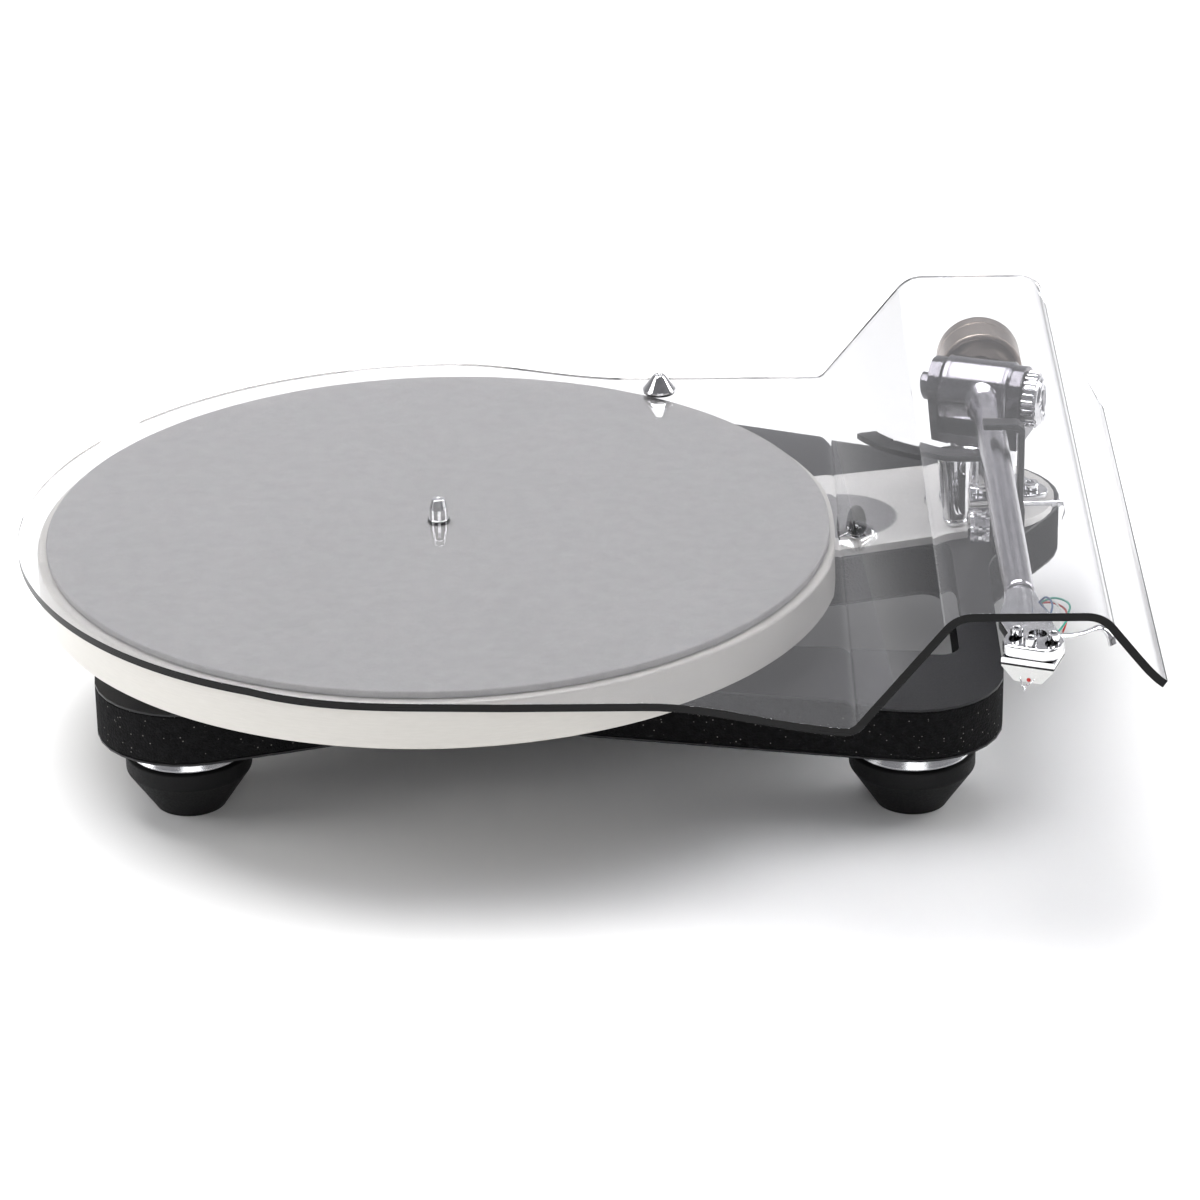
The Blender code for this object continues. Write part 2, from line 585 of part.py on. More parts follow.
def head():
    """Headshell, cartridge and what they carry, drawn along the cartridge and turned at the stylus."""
    x, y = PIVOT
    stylus = Vector((x + STYLUS_OFFSET, y - EFFECTIVE_LENGTH, 0))
    neck_y = y - TUBE_REACH - GAP
    spin = Matrix.Rotation(math.radians(-HEADSHELL_TURN), 3, "Z")

    def turned(across, behind):
        moved = spin @ Vector((across, behind, 0))
        return stylus.x + moved.x, stylus.y + moved.y

    half, nose, tail = HEADSHELL_WIDTH / 2, HEADSHELL_NOSE, HEADSHELL_TAIL
    outline = [(x - TUBE_R, neck_y), turned(-half, tail), turned(-half, nose + 3),
               turned(-half + 3, nose), turned(half - 3, nose), turned(half, nose + 3),
               turned(half, tail), (x + TUBE_R, neck_y)]
    low, high = ARM_Z - HEADSHELL_THICKNESS / 2, ARM_Z + HEADSHELL_THICKNESS / 2
    plate("headshell", outline, low, high, "polished")
    front, back = nose + 0.5, nose + 0.5 + CARTRIDGE_LENGTH
    body_top = low - GAP
    body_low = body_top - CARTRIDGE_HEIGHT
    made = bmesh.new()
    rows = []
    for z, width, ahead, behind in ((body_top, CARTRIDGE_WIDTH, front, back),
                                    (body_top - CARTRIDGE_HEIGHT * 0.35, CARTRIDGE_WIDTH, front, back),
                                    (body_low, CARTRIDGE_WIDTH * 0.52, front + 1, back - 3)):
        corners = ((-width / 2, ahead), (width / 2, ahead), (width / 2, behind), (-width / 2, behind))
        rows.append([made.verts.new((*turned(dx, dy), z)) for dx, dy in corners])
    skin(made, rows)
    finish("cartridge_body", made, "white_plastic", (0, 0, 0))
    for k, place_ in enumerate(CARTRIDGE_SCREWS):
        disc("cartridge_screw_%d" % (k + 1), CAP_SCREW_R, high + GAP, high + GAP + CAP_SCREW_HEIGHT,
             "polished", (*turned(*place_), 0), count=20, edge=0.3)
    tip_z = ARM_Z - STYLUS_DROP
    rod("cantilever", [(*turned(0, front + 5), body_low - GAP - 0.6), (*turned(0, 1), tip_z + 0.9),
                       (*turned(0, 0), tip_z + 0.3)], 0.4, "polished", sides=6)
    for k, colour in enumerate(("red", "green", "blue", "white")):
        shift = -6 + 4 * k
        ax, ay = turned(shift, back + GAP + 0.5)
        bx, by = turned(shift * 0.6, back + 7)
        bow = body_top - 4.5 - 0.6 * k
        rod("lead_" + colour, [(ax, ay, body_top - 2.5), ((2 * ax + bx) / 3, (2 * ay + by) / 3, bow),
                               ((ax + 2 * bx) / 3, (ay + 2 * by) / 3, bow),
                               (bx, by, body_top - LEAD_R - 0.2)], LEAD_R, colour + "_lead", sides=6)
    corner, neck = Vector(turned(half, tail)), Vector((x + TUBE_R, neck_y))
    along = (neck - corner).normalized()
    start = corner + along * FINGER_BEHIND_CORNER + Vector((along.y, -along.x)) * (FINGER_R + GAP)
    sweep = [(start.x + dx, start.y + dy, ARM_Z + dz) for dx, dy, dz in FINGER_PATH]
    rod("finger_lift", sweep, FINGER_R, "polished", sides=8)


def lift_and_rest():
    x, y = PIVOT
    low = BRACE_TOP + GAP
    platform_top = ARM_Z - TUBE_R - LIFT_BELOW_TUBE
    platform_low = platform_top - LIFT_THICKNESS
    disc("lift_cylinder", LIFT_CYLINDER_R, low, platform_low - GAP, "polished",
         (x + LIFT_PLACE[0], y + LIFT_PLACE[1], 0), edge=0.5)
    steps = 14
    inner, outer = [], []
    for k in range(steps + 1):
        share = k / steps
        angle = math.radians(LIFT_ARC_FROM + (LIFT_ARC_TO - LIFT_ARC_FROM) * share)
        radius = LIFT_ARC_OUTER_R + (LIFT_ARC_INNER_R - LIFT_ARC_OUTER_R) * share
        for side, made in ((-1, inner), (1, outer)):
            away = radius + side * LIFT_ARC_WIDTH / 2
            made.append((away * math.cos(angle), away * math.sin(angle)))
    plate("lift_platform", outer + inner[::-1], platform_low, platform_top, "black_plastic", (x, y, 0))

    left, near = x + LIFT_BLOCK_PLACE[0], y + LIFT_BLOCK_PLACE[1]
    right, far = left + LIFT_BLOCK_SIZE[0], near + LIFT_BLOCK_SIZE[1]
    lever_z = BRACE_TOP + LEVER_ABOVE_PLATE
    block_top = lever_z + LIFT_BLOCK_ABOVE_LEVER
    plate("lift_block", [(left, near), (right, near), (right, far), (left, far)], low, block_top,
          "black_plastic")
    lever_y = y + LEVER_FROM_PIVOT
    end = right + GAP + LEVER_LENGTH
    rod("cue_lever", [(right + GAP, lever_y, lever_z), (end, lever_y, lever_z),
                      (end + 1.5, lever_y + 2, lever_z + 2), (end, lever_y + 6, lever_z + 6),
                      (end - 2.5, lever_y + 11, lever_z + 11)], LEVER_R, "polished", sides=10)
    disc("bias_knob", KNOB_R - 0.4, -KNOB_THICKNESS, 0, "aluminium",
         (left - GAP, y + KNOB_FROM_PIVOT, BRACE_TOP + KNOB_ABOVE_PLATE), (0, 90, 0), 36, 1.0, 0.4)

    room, wall = TUBE_R + REST_CLEARANCE, REST_WALL
    foot = block_top - ARM_Z + GAP
    post = right - x - 0.5
    outline = [(post, foot), (post, room), (room, room + wall), (-room * 0.5, room + wall),
               (-room * 0.5, room), (room * 0.8, room), (post - wall, room * 0.8), (post - wall, foot)]
    plate("arm_rest_clip", outline, -REST_WIDTH / 2, REST_WIDTH / 2, "black_plastic",
          (x, y + REST_OFFSET, ARM_Z), (90, 0, 0))


def cover_profile():
    """The upper surface of the bent sheet in the x-z plane, with its folds rounded."""
    corners = [(-COVER_R, COVER_TOP), (FOLD_1, COVER_TOP), (FOLD_2, HUMP_TOP), (FOLD_3, HUMP_TOP),
               (TIP_X, HUMP_TOP - TIP_DROP)]
    points = [Vector(corners[0])]
    for before, here, after in zip(corners, corners[1:], corners[2:]):
        one = (Vector(before) - Vector(here)).normalized()
        two = (Vector(after) - Vector(here)).normalized()
        half = one.angle(two) / 2
        reach = FOLD_RADIUS / math.tan(half)
        start, end = Vector(here) + one * reach, Vector(here) + two * reach
        steps = 5
        for k in range(steps + 1):
            share = k / steps
            points.append(start * (1 - share) ** 2 + Vector(here) * 2 * share * (1 - share)
                          + end * share ** 2)
    slope = (Vector(corners[-1]) - Vector(corners[-2])).normalized()
    tip = Vector(corners[-1])
    out = Vector((-slope.y, slope.x))
    points.append(tip - slope * 9)
    points.append(tip - slope * 4 + out * TIP_FLARE * 0.3)
    points.append(tip + Vector((0, TIP_FLARE)))
    return points


def cover_front(x):
    """The sheet's front edge: round the platter, straight, then out to the front of the hump."""
    round_edge = -math.sqrt(max(COVER_R ** 2 - x * x, 0)) if x < 0 else -COVER_R
    flat = COVER_FRONT_FLAT
    share = min(max((x + 60) / 90, 0), 1)
    blend = round_edge * (1 - share) + flat * share if x > -60 else round_edge
    share = min(max((x - 78) / (FOLD_1 + 6 - 78), 0), 1)
    return blend + (HUMP_FRONT - flat) * share * share * (3 - 2 * share)


def cover_rear(x):
    """The rear edge: round the platter, straight, and cut back along the hump's outer slope."""
    if x <= 0:
        return math.sqrt(max(COVER_R ** 2 - x * x, 0))
    if x < 76:
        share = x / 76
        circle = math.sqrt(COVER_R ** 2 - x * x * 0.45)
        eased = share * share * (3 - 2 * share)
        return circle * (1 - eased) + COVER_REAR * eased
    if x <= FOLD_3 + 2:
        return COVER_REAR
    return COVER_REAR + (TIP_REAR - COVER_REAR) * (x - FOLD_3 - 2) / (TIP_X - FOLD_3 - 2)


def cover():
    profile = cover_profile()
    flat_end = profile[1].x
    stations = []
    count = 20
    for k in range(count):
        angle = math.radians(2 + 88 * k / count)
        stations.append(Vector((-COVER_R * math.cos(angle), COVER_TOP)))
    for k in range(14):
        stations.append(Vector((flat_end * k / 14, COVER_TOP)))
    stations += profile[1:]
    made = bmesh.new()
    rows = []
    for i, point in enumerate(stations):
        before = stations[max(i - 1, 0)]
        after = stations[min(i + 1, len(stations) - 1)]
        along = (after - before).normalized()
        # the mean of the two neighbouring normals, lengthened so that each flat keeps its thickness
        if 0 < i < len(stations) - 1:
            one, two = (point - before).normalized(), (after - point).normalized()
            along = (one + two).normalized()
            stretch = 1 / max(along.dot(one), 0.5)
        else:
            stretch = 1
        inward = Vector((along.y, -along.x)) * COVER_THICKNESS * stretch
        x = point.x
        front, rear = cover_front(x), cover_rear(x)
        under = point + inward
        rows.append([made.verts.new((point.x, front, point.y)), made.verts.new((point.x, rear, point.y)),
                     made.verts.new((under.x, rear, under.y)), made.verts.new((under.x, front, under.y))])
    skin(made, rows)
    sheet = finish("cover_sheet", made, "acrylic", (0, 0, 0))
    cut(sheet, disc("spindle_hole_cutter", SPINDLE_HOLE_R, COVER_BOTTOM - 3, COVER_TOP + 3, None))
    low = COVER_TOP + GAP
    lathe("cover_knob", [(0, low), (6.0, low), (6.6, low + 0.7), (6.6, low + 1.6), (2.7, low + 7.0),
                         (2.1, low + 7.5), (0, low + 7.5)],
          "polished", (*KNOB_PLACE, 0), count=32)


def main():
    clear_scene()
    cutters = bpy.data.collections.new("cutters")
    cutters.hide_render = True
    bpy.context.scene.collection.children.link(cutters)
    feet()
    plinth()
    main_bearing()
    platter()
    drive()
    arm_base()
    tonearm(arm_yoke())
    head()
    lift_and_rest()
    cover()


main()
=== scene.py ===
"""Turntable record player: surfaces, fittings and studio set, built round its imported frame."""

import math

import bmesh
import bpy
from bpy.props import FloatProperty, FloatVectorProperty, IntProperty, PointerProperty
from mathutils import Matrix, Vector


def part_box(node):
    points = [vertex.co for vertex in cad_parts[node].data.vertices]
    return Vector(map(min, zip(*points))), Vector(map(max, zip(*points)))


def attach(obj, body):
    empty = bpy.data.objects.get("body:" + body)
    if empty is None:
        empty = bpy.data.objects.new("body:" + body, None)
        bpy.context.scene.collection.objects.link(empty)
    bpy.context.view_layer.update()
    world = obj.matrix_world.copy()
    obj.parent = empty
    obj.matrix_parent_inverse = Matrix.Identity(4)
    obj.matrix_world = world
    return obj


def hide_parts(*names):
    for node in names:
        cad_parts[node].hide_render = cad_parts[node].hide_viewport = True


bl_info = {
    "name": "Turntable Record Player",
    "version": (1, 0, 0),
    "blender": (4, 5, 0),
    "location": "3D View > Sidebar > Turntable",
    "description": "Builds the surfaces and fittings of a belt-drive turntable and its studio set",
    "category": "Add Mesh",
}

MM = 0.001
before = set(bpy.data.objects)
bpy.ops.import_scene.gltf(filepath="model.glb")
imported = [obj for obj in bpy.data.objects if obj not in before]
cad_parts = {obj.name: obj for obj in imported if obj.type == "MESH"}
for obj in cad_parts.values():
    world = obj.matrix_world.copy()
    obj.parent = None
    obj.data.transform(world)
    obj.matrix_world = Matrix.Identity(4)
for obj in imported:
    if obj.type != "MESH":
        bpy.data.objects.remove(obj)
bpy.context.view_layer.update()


# ---- places ------------------------------------------------------------------------------------


def corner(node, across, along, up):
    """A point of a CAD node's box in millimetres: 0 is the low side and 1 the high side of each axis."""
    low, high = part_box(node)
    shares = (across, along, up)
    return Vector([(low[i] + (high[i] - low[i]) * shares[i]) / MM for i in range(3)])


AXIS = corner("spindle", 0.5, 0.5, 0)
AXIS.z = 0  # drawings are in millimetres from the point of the floor under the spindle


def spot(node, across=0.5, along=0.5, up=0.5):
    return corner(node, across, along, up) - AXIS


def span(node):
    """The size of a CAD node's box in millimetres."""
    low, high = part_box(node)
    return [(b - a) / MM for a, b in zip(low, high)]


def height(node):
    return span(node)[2]


def half_width(node):
    return span(node)[0] / 2


def levels(node):
    """The lowest and highest z of a CAD node in millimetres."""
    return [point.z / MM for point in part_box(node)]


def upright(node):
    """The matrix that stands z = 0 at the middle of a CAD node's foot."""
    return Matrix.Translation(spot(node, up=0))


def linear(code):
    """Linear red, green and blue of an sRGB hex value."""
    parts = [int(code[i:i + 2], 16) / 255 for i in (1, 3, 5)]
    return tuple(c / 12.92 if c <= 0.04045 else ((c + 0.055) / 1.055) ** 2.4 for c in parts)


# ---- what a user may change --------------------------------------------------------------------


def length(name, description, default):
    return FloatProperty(name=name, description=description, default=default * MM, min=0.0001, unit="LENGTH",
                         precision=4)


def colour(name, description, code):
    return FloatVectorProperty(name=name, description=description, default=linear(code), min=0, max=1,
                               subtype="COLOR")


class TurntableSizes(bpy.types.PropertyGroup):
    edge: length("Broken edge", "Rounding of machined edges", 0.4)
    platter_edge: length("Platter edge", "Rounding of the platter's rim", 1.1)
    mat_edge: length("Mat edge", "Rounding of the felt mat's rim", 0.7)
    cover_edge: length("Cover edge", "Rounding of the clear cover's cut edge", 0.35)
    fold_radius: length("Fold radius", "Radius of the cover's hot bends", 13.0)
    dial_ribs: IntProperty(name="Dial ribs", description="Ribs round the tracking-force dial",
                           default=26, min=8, max=60)
    knurl_count: IntProperty(name="Knurl points", description="Points round each row of the bias knob",
                             default=22, min=8, max=60)


class TurntableColours(bpy.types.PropertyGroup):
    felt: colour("Felt", "Pressed felt mat", "#A3A19F")
    ceramic: colour("Ceramic", "Fired and ground platter", "#CCC9C3")
    laminate: colour("Laminate", "Skins of the plinth", "#1B1B1D")
    foam: colour("Foam", "Core of the plinth", "#0A0A0B")
    rubber: colour("Rubber", "Feet and seats", "#070708")
    acrylic: colour("Acrylic", "Clear bent cover", "#ECECEE")
    tungsten: colour("Tungsten", "Counterweight", "#A3988E")
    floor: colour("Floor", "Plain studio floor", "#DCDCDC")


# ---- nodes and materials -----------------------------------------------------------------------


def add(tree, kind, sockets=None, **settings):
    """One node with its settings; each socket takes a number, a colour or another node's output."""
    made = tree.nodes.new(kind)
    for key, setting in settings.items():
        setattr(made, key, setting)
    for socket, value in (sockets or {}).items():
        if isinstance(value, bpy.types.NodeSocket):
            tree.links.new(value, made.inputs[socket])
        else:
            made.inputs[socket].default_value = value
    return made


def noise_of(tree, place, grain, detail, **more):
    """A noise whose lumps measure about grain millimetres."""
    given = {"Vector": place, "Scale": 1 / (grain * MM), "Detail": detail}
    return add(tree, "ShaderNodeTexNoise", {**given, **more}).outputs[0]


def ranged(tree, value, low, high, start=0.0, end=1.0):
    """A value that runs from low to high, made to run from start to end."""
    return add(tree, "ShaderNodeMapRange", {0: value, 1: low, 2: high, 3: start, 4: end}).outputs[0]


def mixed(tree, share, one, other):
    """One colour by a share of the other; each is linear red, green and blue, or another node's output."""
    one, other = (c if isinstance(c, bpy.types.NodeSocket) else (*c, 1) for c in (one, other))
    return add(tree, "ShaderNodeMix", {0: share, 6: one, 7: other}, data_type="RGBA").outputs[2]


def relief(tree, value, depth):
    """The normal of a surface that rises by depth millimetres with a value."""
    return add(tree, "ShaderNodeBump", {"Height": value, "Distance": depth * MM, "Strength": 1.0}).outputs[0]


def shader_of(name, **constants):
    """A new material, its tree and its Principled shader, with the constants on the shader's own sockets."""
    made = bpy.data.materials.new(name)
    made.use_nodes = True
    shader = made.node_tree.nodes["Principled BSDF"]
    for key, value in constants.items():
        shader.inputs[key.replace("_", " ")].default_value = value
    return made, made.node_tree, shader


def join(tree, shader, **outputs):
    for key, output in outputs.items():
        tree.links.new(output, shader.inputs[key.replace("_", " ")])


def grained(name, tones, roughness, grain, depth, stretch=(1, 1, 1), uv=False, detail=3.0, **constants):
    """Tone, roughness and relief follow one noise. grain and depth are in millimetres; a stretch of 0 leaves
    the grain unbroken along that direction."""
    made, tree, shader = shader_of(name, **constants)
    place = add(tree, "ShaderNodeTexCoord").outputs["UV" if uv else "Object"]
    laid = add(tree, "ShaderNodeMapping", {"Vector": place, "Scale": stretch})
    noise = noise_of(tree, laid.outputs[0], grain, detail)
    tone = mixed(tree, ranged(tree, noise, 0.3, 0.7), linear(tones[0]), linear(tones[1]))
    join(tree, shader, Base_Color=tone, Roughness=ranged(tree, noise, 0.3, 0.7, *roughness),
         Normal=relief(tree, noise, depth))
    return made


def hexed(rgb, gain=1.0):
    """The sRGB hex value of a linear colour, made lighter or darker by gain."""
    parts = []
    for c in rgb:
        c = min(max(c * gain, 0), 1)
        parts.append(round(255 * (c * 12.92 if c <= 0.0031308 else 1.055 * c ** (1 / 2.4) - 0.055)))
    return "#%02X%02X%02X" % tuple(parts)


def pair(rgb, less, more):
    """Two hex values of one linear colour: made darker or lighter by less and by more."""
    return hexed(rgb, less), hexed(rgb, more)


def pressed_felt(rgb):
    """Pressed wool felt: matted fibres about half a millimetre apart, cloudy where the wool lies denser, with
    a soft sheen."""
    made, tree, shader = shader_of("felt_pressed", Roughness=0.95, Sheen_Weight=0.25, Sheen_Roughness=0.6)
    place = add(tree, "ShaderNodeTexCoord").outputs["Object"]
    clouds = noise_of(tree, place, 6, 4.0)
    fibres = noise_of(tree, place, 0.55, 4.0, Distortion=1.2)
    both = add(tree, "ShaderNodeMath", {0: ranged(tree, clouds, 0.3, 0.7, 0.0, 0.3),
                                        1: ranged(tree, fibres, 0.3, 0.7, 0.0, 0.55)}, operation="ADD")
    tone = mixed(tree, both.outputs[0], [c * 0.78 for c in rgb], [min(c * 1.18, 1) for c in rgb])
    join(tree, shader, Base_Color=tone, Normal=relief(tree, fibres, 0.08))
    return made


def cut_foam(rgb):
    """Closed-cell polyurethane foam, sawn: 0.9 mm cells open as pits, and here and there a painted highlight,
    a light speck painted into the colour where a cell wall would glint."""
    made, tree, shader = shader_of("polyurethane_foam_sawn", Roughness=0.9, Specular_IOR_Level=0.15)
    place = add(tree, "ShaderNodeTexCoord").outputs["Object"]
    cells, painted_glint = (add(tree, "ShaderNodeTexVoronoi", {"Vector": place, "Scale": 1 / (size * MM)})
                    .outputs["Distance"] for size in (0.9, 2.6))
    lumps = noise_of(tree, place, 2.4, 5.0)
    wall = mixed(tree, ranged(tree, lumps, 0.4, 0.75), rgb, [c * 2.4 for c in rgb])
    # painted highlight: light specks of #6E6C69 stand for cell walls that glint
    tone = mixed(tree, ranged(tree, painted_glint, 0.13, 0.07), wall, linear("#6E6C69"))
    pits = add(tree, "ShaderNodeMath", {0: cells, 1: lumps}, operation="ADD")
    join(tree, shader, Base_Color=tone, Normal=relief(tree, pits.outputs[0], 0.35))
    return made


def ground_brace(rgb, shade_centre, radius):
    """Fired alumina brace, ground flat: fine grinding marks along it, and one round field painted darker as
    shade, under the platter's rim."""
    made, tree, shader = shader_of("alumina_ground_flat_painted_shade", Specular_IOR_Level=0.5, Coat_Weight=0.3,
                                   Coat_Roughness=0.12)
    place = add(tree, "ShaderNodeTexCoord").outputs["Object"]
    # The Mapping brings the field's middle to 0 and its edge to 1.
    laid = add(tree, "ShaderNodeMapping", {"Vector": place, "Location": [-c / radius for c in shade_centre],
                                           "Scale": (1 / (radius * MM),) * 3})
    flat = add(tree, "ShaderNodeVectorMath", {0: laid.outputs[0], 1: (1, 1, 0)}, operation="MULTIPLY")
    away = add(tree, "ShaderNodeVectorMath", {0: flat.outputs[0]}, operation="LENGTH")
    marks = noise_of(tree, place, 0.5, 3.0)
    plain = mixed(tree, marks, [c * 0.9 for c in rgb], rgb)
    # painted shade: the round field under the platter's rim is darkened towards #8B898A
    tone = mixed(tree, ranged(tree, away.outputs["Value"], 1.03, 0.97), plain, linear("#8B898A"))
    join(tree, shader, Base_Color=tone, Roughness=ranged(tree, marks, 0.3, 0.7, 0.22, 0.34))
    return made


def cast_acrylic(rgb):
    """Cast acrylic sheet: clear with a trace of grey, flat to the eye but for faint cleaning hairlines."""
    made, tree, shader = shader_of("acrylic_cast_clear", Base_Color=(*rgb, 1), Transmission_Weight=1.0,
                                   IOR=1.49, Specular_IOR_Level=0.5)
    place = add(tree, "ShaderNodeTexCoord").outputs["Object"]
    laid = add(tree, "ShaderNodeMapping", {"Vector": place, "Scale": (1, 0.05, 1)})
    wiped = noise_of(tree, laid.outputs[0], 1.5, 2.0)
    join(tree, shader, Roughness=ranged(tree, wiped, 0.45, 0.75, 0.0, 0.035))
    return made


LOOKS = {}


def make_looks(colours):
    """Every finish on the turntable, each named for its material and how its surface was made."""
    LOOKS.update(
        # moulded natural rubber: a dry skin that scatters nearly all light
        rubber=grained("rubber_moulded", pair(colours.rubber, 0.7, 1.6), (0.5, 0.68), 0.8, 0.03,
                       Specular_IOR_Level=0.22),
        # lathe-turned aluminium: unbroken fine rings that draw a highlight out across them
        turned=grained("aluminium_turned", ("#C9CACD", "#E2E2E4"), (0.16, 0.3), 0.35, 0.006, (0, 1, 1), True,
                       Metallic=1.0),
        # polished aluminium: near mirror, with a faint uneven bloom
        polished=grained("aluminium_polished", ("#D8D8DA", "#EDEDEE"), (0.05, 0.13), 6.0, 0.01, Metallic=1.0),
        # hard-chromed steel: mirror
        chrome=grained("steel_chromed", ("#DADADC", "#EFEFF0"), (0.03, 0.07), 3.0, 0.004, Metallic=1.0),
        # aluminium casting, bead-blasted and then anodised: even satin
        satin=grained("aluminium_blasted_anodised", ("#ACAAAE", "#B5B3B7"), (0.2, 0.26), 3.0, 0.0008,
                      Metallic=1.0),
        # black-nickel plate over polished steel: dark mirror
        dark=grained("steel_black_nickel_plated", ("#5C5A5E", "#6B696D"), (0.08, 0.16), 4.0, 0.004,
                     Metallic=1.0),
        # bright nickel plate over a polished casting
        nickel=grained("aluminium_nickel_plated", ("#7B797D", "#87858A"), (0.12, 0.19), 5.0, 0.002,
                       Metallic=1.0),
        # sintered tungsten, turned and lacquered: warm brown-grey, soft gloss
        tungsten=grained("tungsten_sintered_turned", pair(colours.tungsten, 0.95, 1.05), (0.3, 0.36), 0.9,
                         0.002, (0, 1, 1), True, Metallic=1.0),
        # turned brass, left bare
        brass=grained("brass_turned", ("#B08D4A", "#C9A862"), (0.18, 0.32), 0.4, 0.006, (0, 1, 1), True,
                      Metallic=1.0),
        # fired alumina, diamond-ground: even satin with barely seen marks round it
        ceramic=grained("alumina_fired_ground", pair(colours.ceramic, 0.97, 1.02), (0.28, 0.4), 0.6, 0.004,
                        (0.1, 1, 1), True, Coat_Weight=0.15, Coat_Roughness=0.2),
        # high-pressure laminate, pressed against a fine matt plate
        laminate=grained("laminate_pressed_matt", pair(colours.laminate, 0.8, 1.2), (0.34, 0.46), 0.5, 0.012,
                         Specular_IOR_Level=0.3),
        # injection-moulded ABS with a spark-eroded grain
        plastic=grained("abs_moulded_black", ("#0D0D0E", "#19191A"), (0.32, 0.46), 0.35, 0.012),
        # gloss black moulding, polished mould
        gloss=grained("abs_moulded_gloss", ("#050506", "#0B0B0C"), (0.03, 0.07), 5.0, 0.004,
                      Specular_IOR_Level=0.4),
        # moulded PBT and polyurethane: even, barely grained
        shell=grained("pbt_moulded_white", ("#DCDCDA", "#EAEAE8"), (0.28, 0.4), 0.4, 0.01),
        belt=grained("polyurethane_belt_moulded", ("#C9C5B8", "#DAD6CA"), (0.45, 0.6), 0.5, 0.01),
        # the sheet's saw-cut edge, painted black
        edge=grained("acrylic_edge_painted", ("#040405", "#0B0B0C"), (0.25, 0.4), 0.8, 0.006, (0.05, 0.05, 1),
                     Specular_IOR_Level=0.2),
        felt=pressed_felt(colours.felt),
        foam=cut_foam(colours.foam),
        acrylic=cast_acrylic(colours.acrylic),
        # the brace's painted shade is a round field 21 mm in radius, 156 mm right of and 61 mm behind the
        # spindle
        brace=ground_brace(linear("#F5F3EF"), AXIS + Vector((156, 61, 0)), 21.0),
    )
    for hue, code in (("red", "#B3261E"), ("green", "#2F9C86"), ("blue", "#46648C"), ("white", "#D9D9D6")):
        # extruded PVC: even and slightly waxy
        LOOKS[hue] = grained("pvc_extruded_" + hue, (code, hexed(linear(code), 1.2)), (0.35, 0.5), 0.6, 0.005)


# ---- shapes ------------------------------------------------------------------------------------


def rounded(profile, looped, steps=4):
    """The points of a profile whose corners may carry a third number, the radius that rounds them."""
    points = []
    count = len(profile)
    for i, item in enumerate(profile):
        here = Vector(item[:2])
        fillet = item[2] if len(item) > 2 else 0
        if not fillet or (not looped and i in (0, count - 1)):
            points.append(here)
            continue
        before = Vector(profile[i - 1][:2]) - here
        after = Vector(profile[(i + 1) % count][:2]) - here
        reach = fillet / math.tan(max(before.angle(after), 0.1) / 2)
        reach = min(reach, before.length * 0.49, after.length * 0.49)
        start, end = here + before.normalized() * reach, here + after.normalized() * reach
        for k in range(steps + 1):
            t = k / steps
            points.append(start * (1 - t) ** 2 + here * 2 * t * (1 - t) + end * t ** 2)
    return points


def turned(made, profile, place=Matrix(), count=72, look=0, steps=4):
    """Adds a profile of (radius, height, fillet) turned round the z axis of place, with a UV map in metres
    that runs round it and then along the profile."""
    looped = not (profile[0][0] == 0 and profile[-1][0] == 0)
    points = rounded(profile, looped, steps)
    uv = made.loops.layers.uv.verify()
    widest = max(p.x for p in points)
    run = [0.0]
    for a, b in zip(points, points[1:] + points[:1]):
        run.append(run[-1] + (b - a).length)
    rings = []
    for p in points:
        if p.x < 1e-6:
            rings.append([made.verts.new(place @ Vector((0, 0, p.y)))] * count)
        else:
            rings.append([made.verts.new(place @ Vector((p.x * math.cos(t), p.x * math.sin(t), p.y)))
                          for t in (2 * math.pi * i / count for i in range(count))])
    for a in range(len(rings) if looped else len(rings) - 1):
        one, other = rings[a], rings[(a + 1) % len(rings)]
        for i in range(count):
            j = (i + 1) % count
            corners, places = [], []
            for vert, u, v in ((one[i], i, run[a]), (one[j], i + 1, run[a]), (other[j], i + 1, run[a + 1]),
                               (other[i], i, run[a + 1])):
                if vert not in corners:
                    corners.append(vert)
                    places.append((u / count * 2 * math.pi * widest * MM, v * MM))
            if len(corners) > 2:
                face = made.faces.new(corners)
                face.material_index = look
                for loop, where in zip(face.loops, places):
                    loop[uv].uv = where


def inset(outline, amount):
    """An outline moved inwards by amount, whichever way round it runs."""
    area = sum(a[0] * b[1] - b[0] * a[1] for a, b in zip(outline, outline[1:] + outline[:1]))
    sign = 1 if area > 0 else -1
    moved = []
    for i, here in enumerate(outline):
        before, after = Vector(outline[i - 1]), Vector(outline[(i + 1) % len(outline)])
        one, two = (Vector(here) - before).normalized(), (after - Vector(here)).normalized()
        normal = Vector((-(one + two).y, (one + two).x)).normalized() * sign
        reach = amount / max(normal.dot(Vector((-one.y, one.x)) * sign), 0.4)
        moved.append(tuple(Vector(here) + normal * reach))
    return moved


def slab(made, outline, low, high, edge, place=Matrix(), look=0, steps=3):
    """Adds an outline made solid from one height to another, with both rims rounded."""
    rows = []
    for k in range(steps + 1):
        t = math.pi / 2 * k / steps
        rows.append((edge * (1 - math.sin(t)), low + edge * (1 - math.cos(t))))
    rows += [(gap, low + high - z) for gap, z in rows[::-1]]
    rings = [[made.verts.new(place @ Vector((x, y, z))) for x, y in inset(outline, gap)] for gap, z in rows]
    faces = [made.faces.new(rings[0][::-1]), made.faces.new(rings[-1])]
    for one, other in zip(rings, rings[1:]):
        for i in range(len(one)):
            j = (i + 1) % len(one)
            faces.append(made.faces.new((one[i], one[j], other[j], other[i])))
    for face in faces:
        face.material_index = look


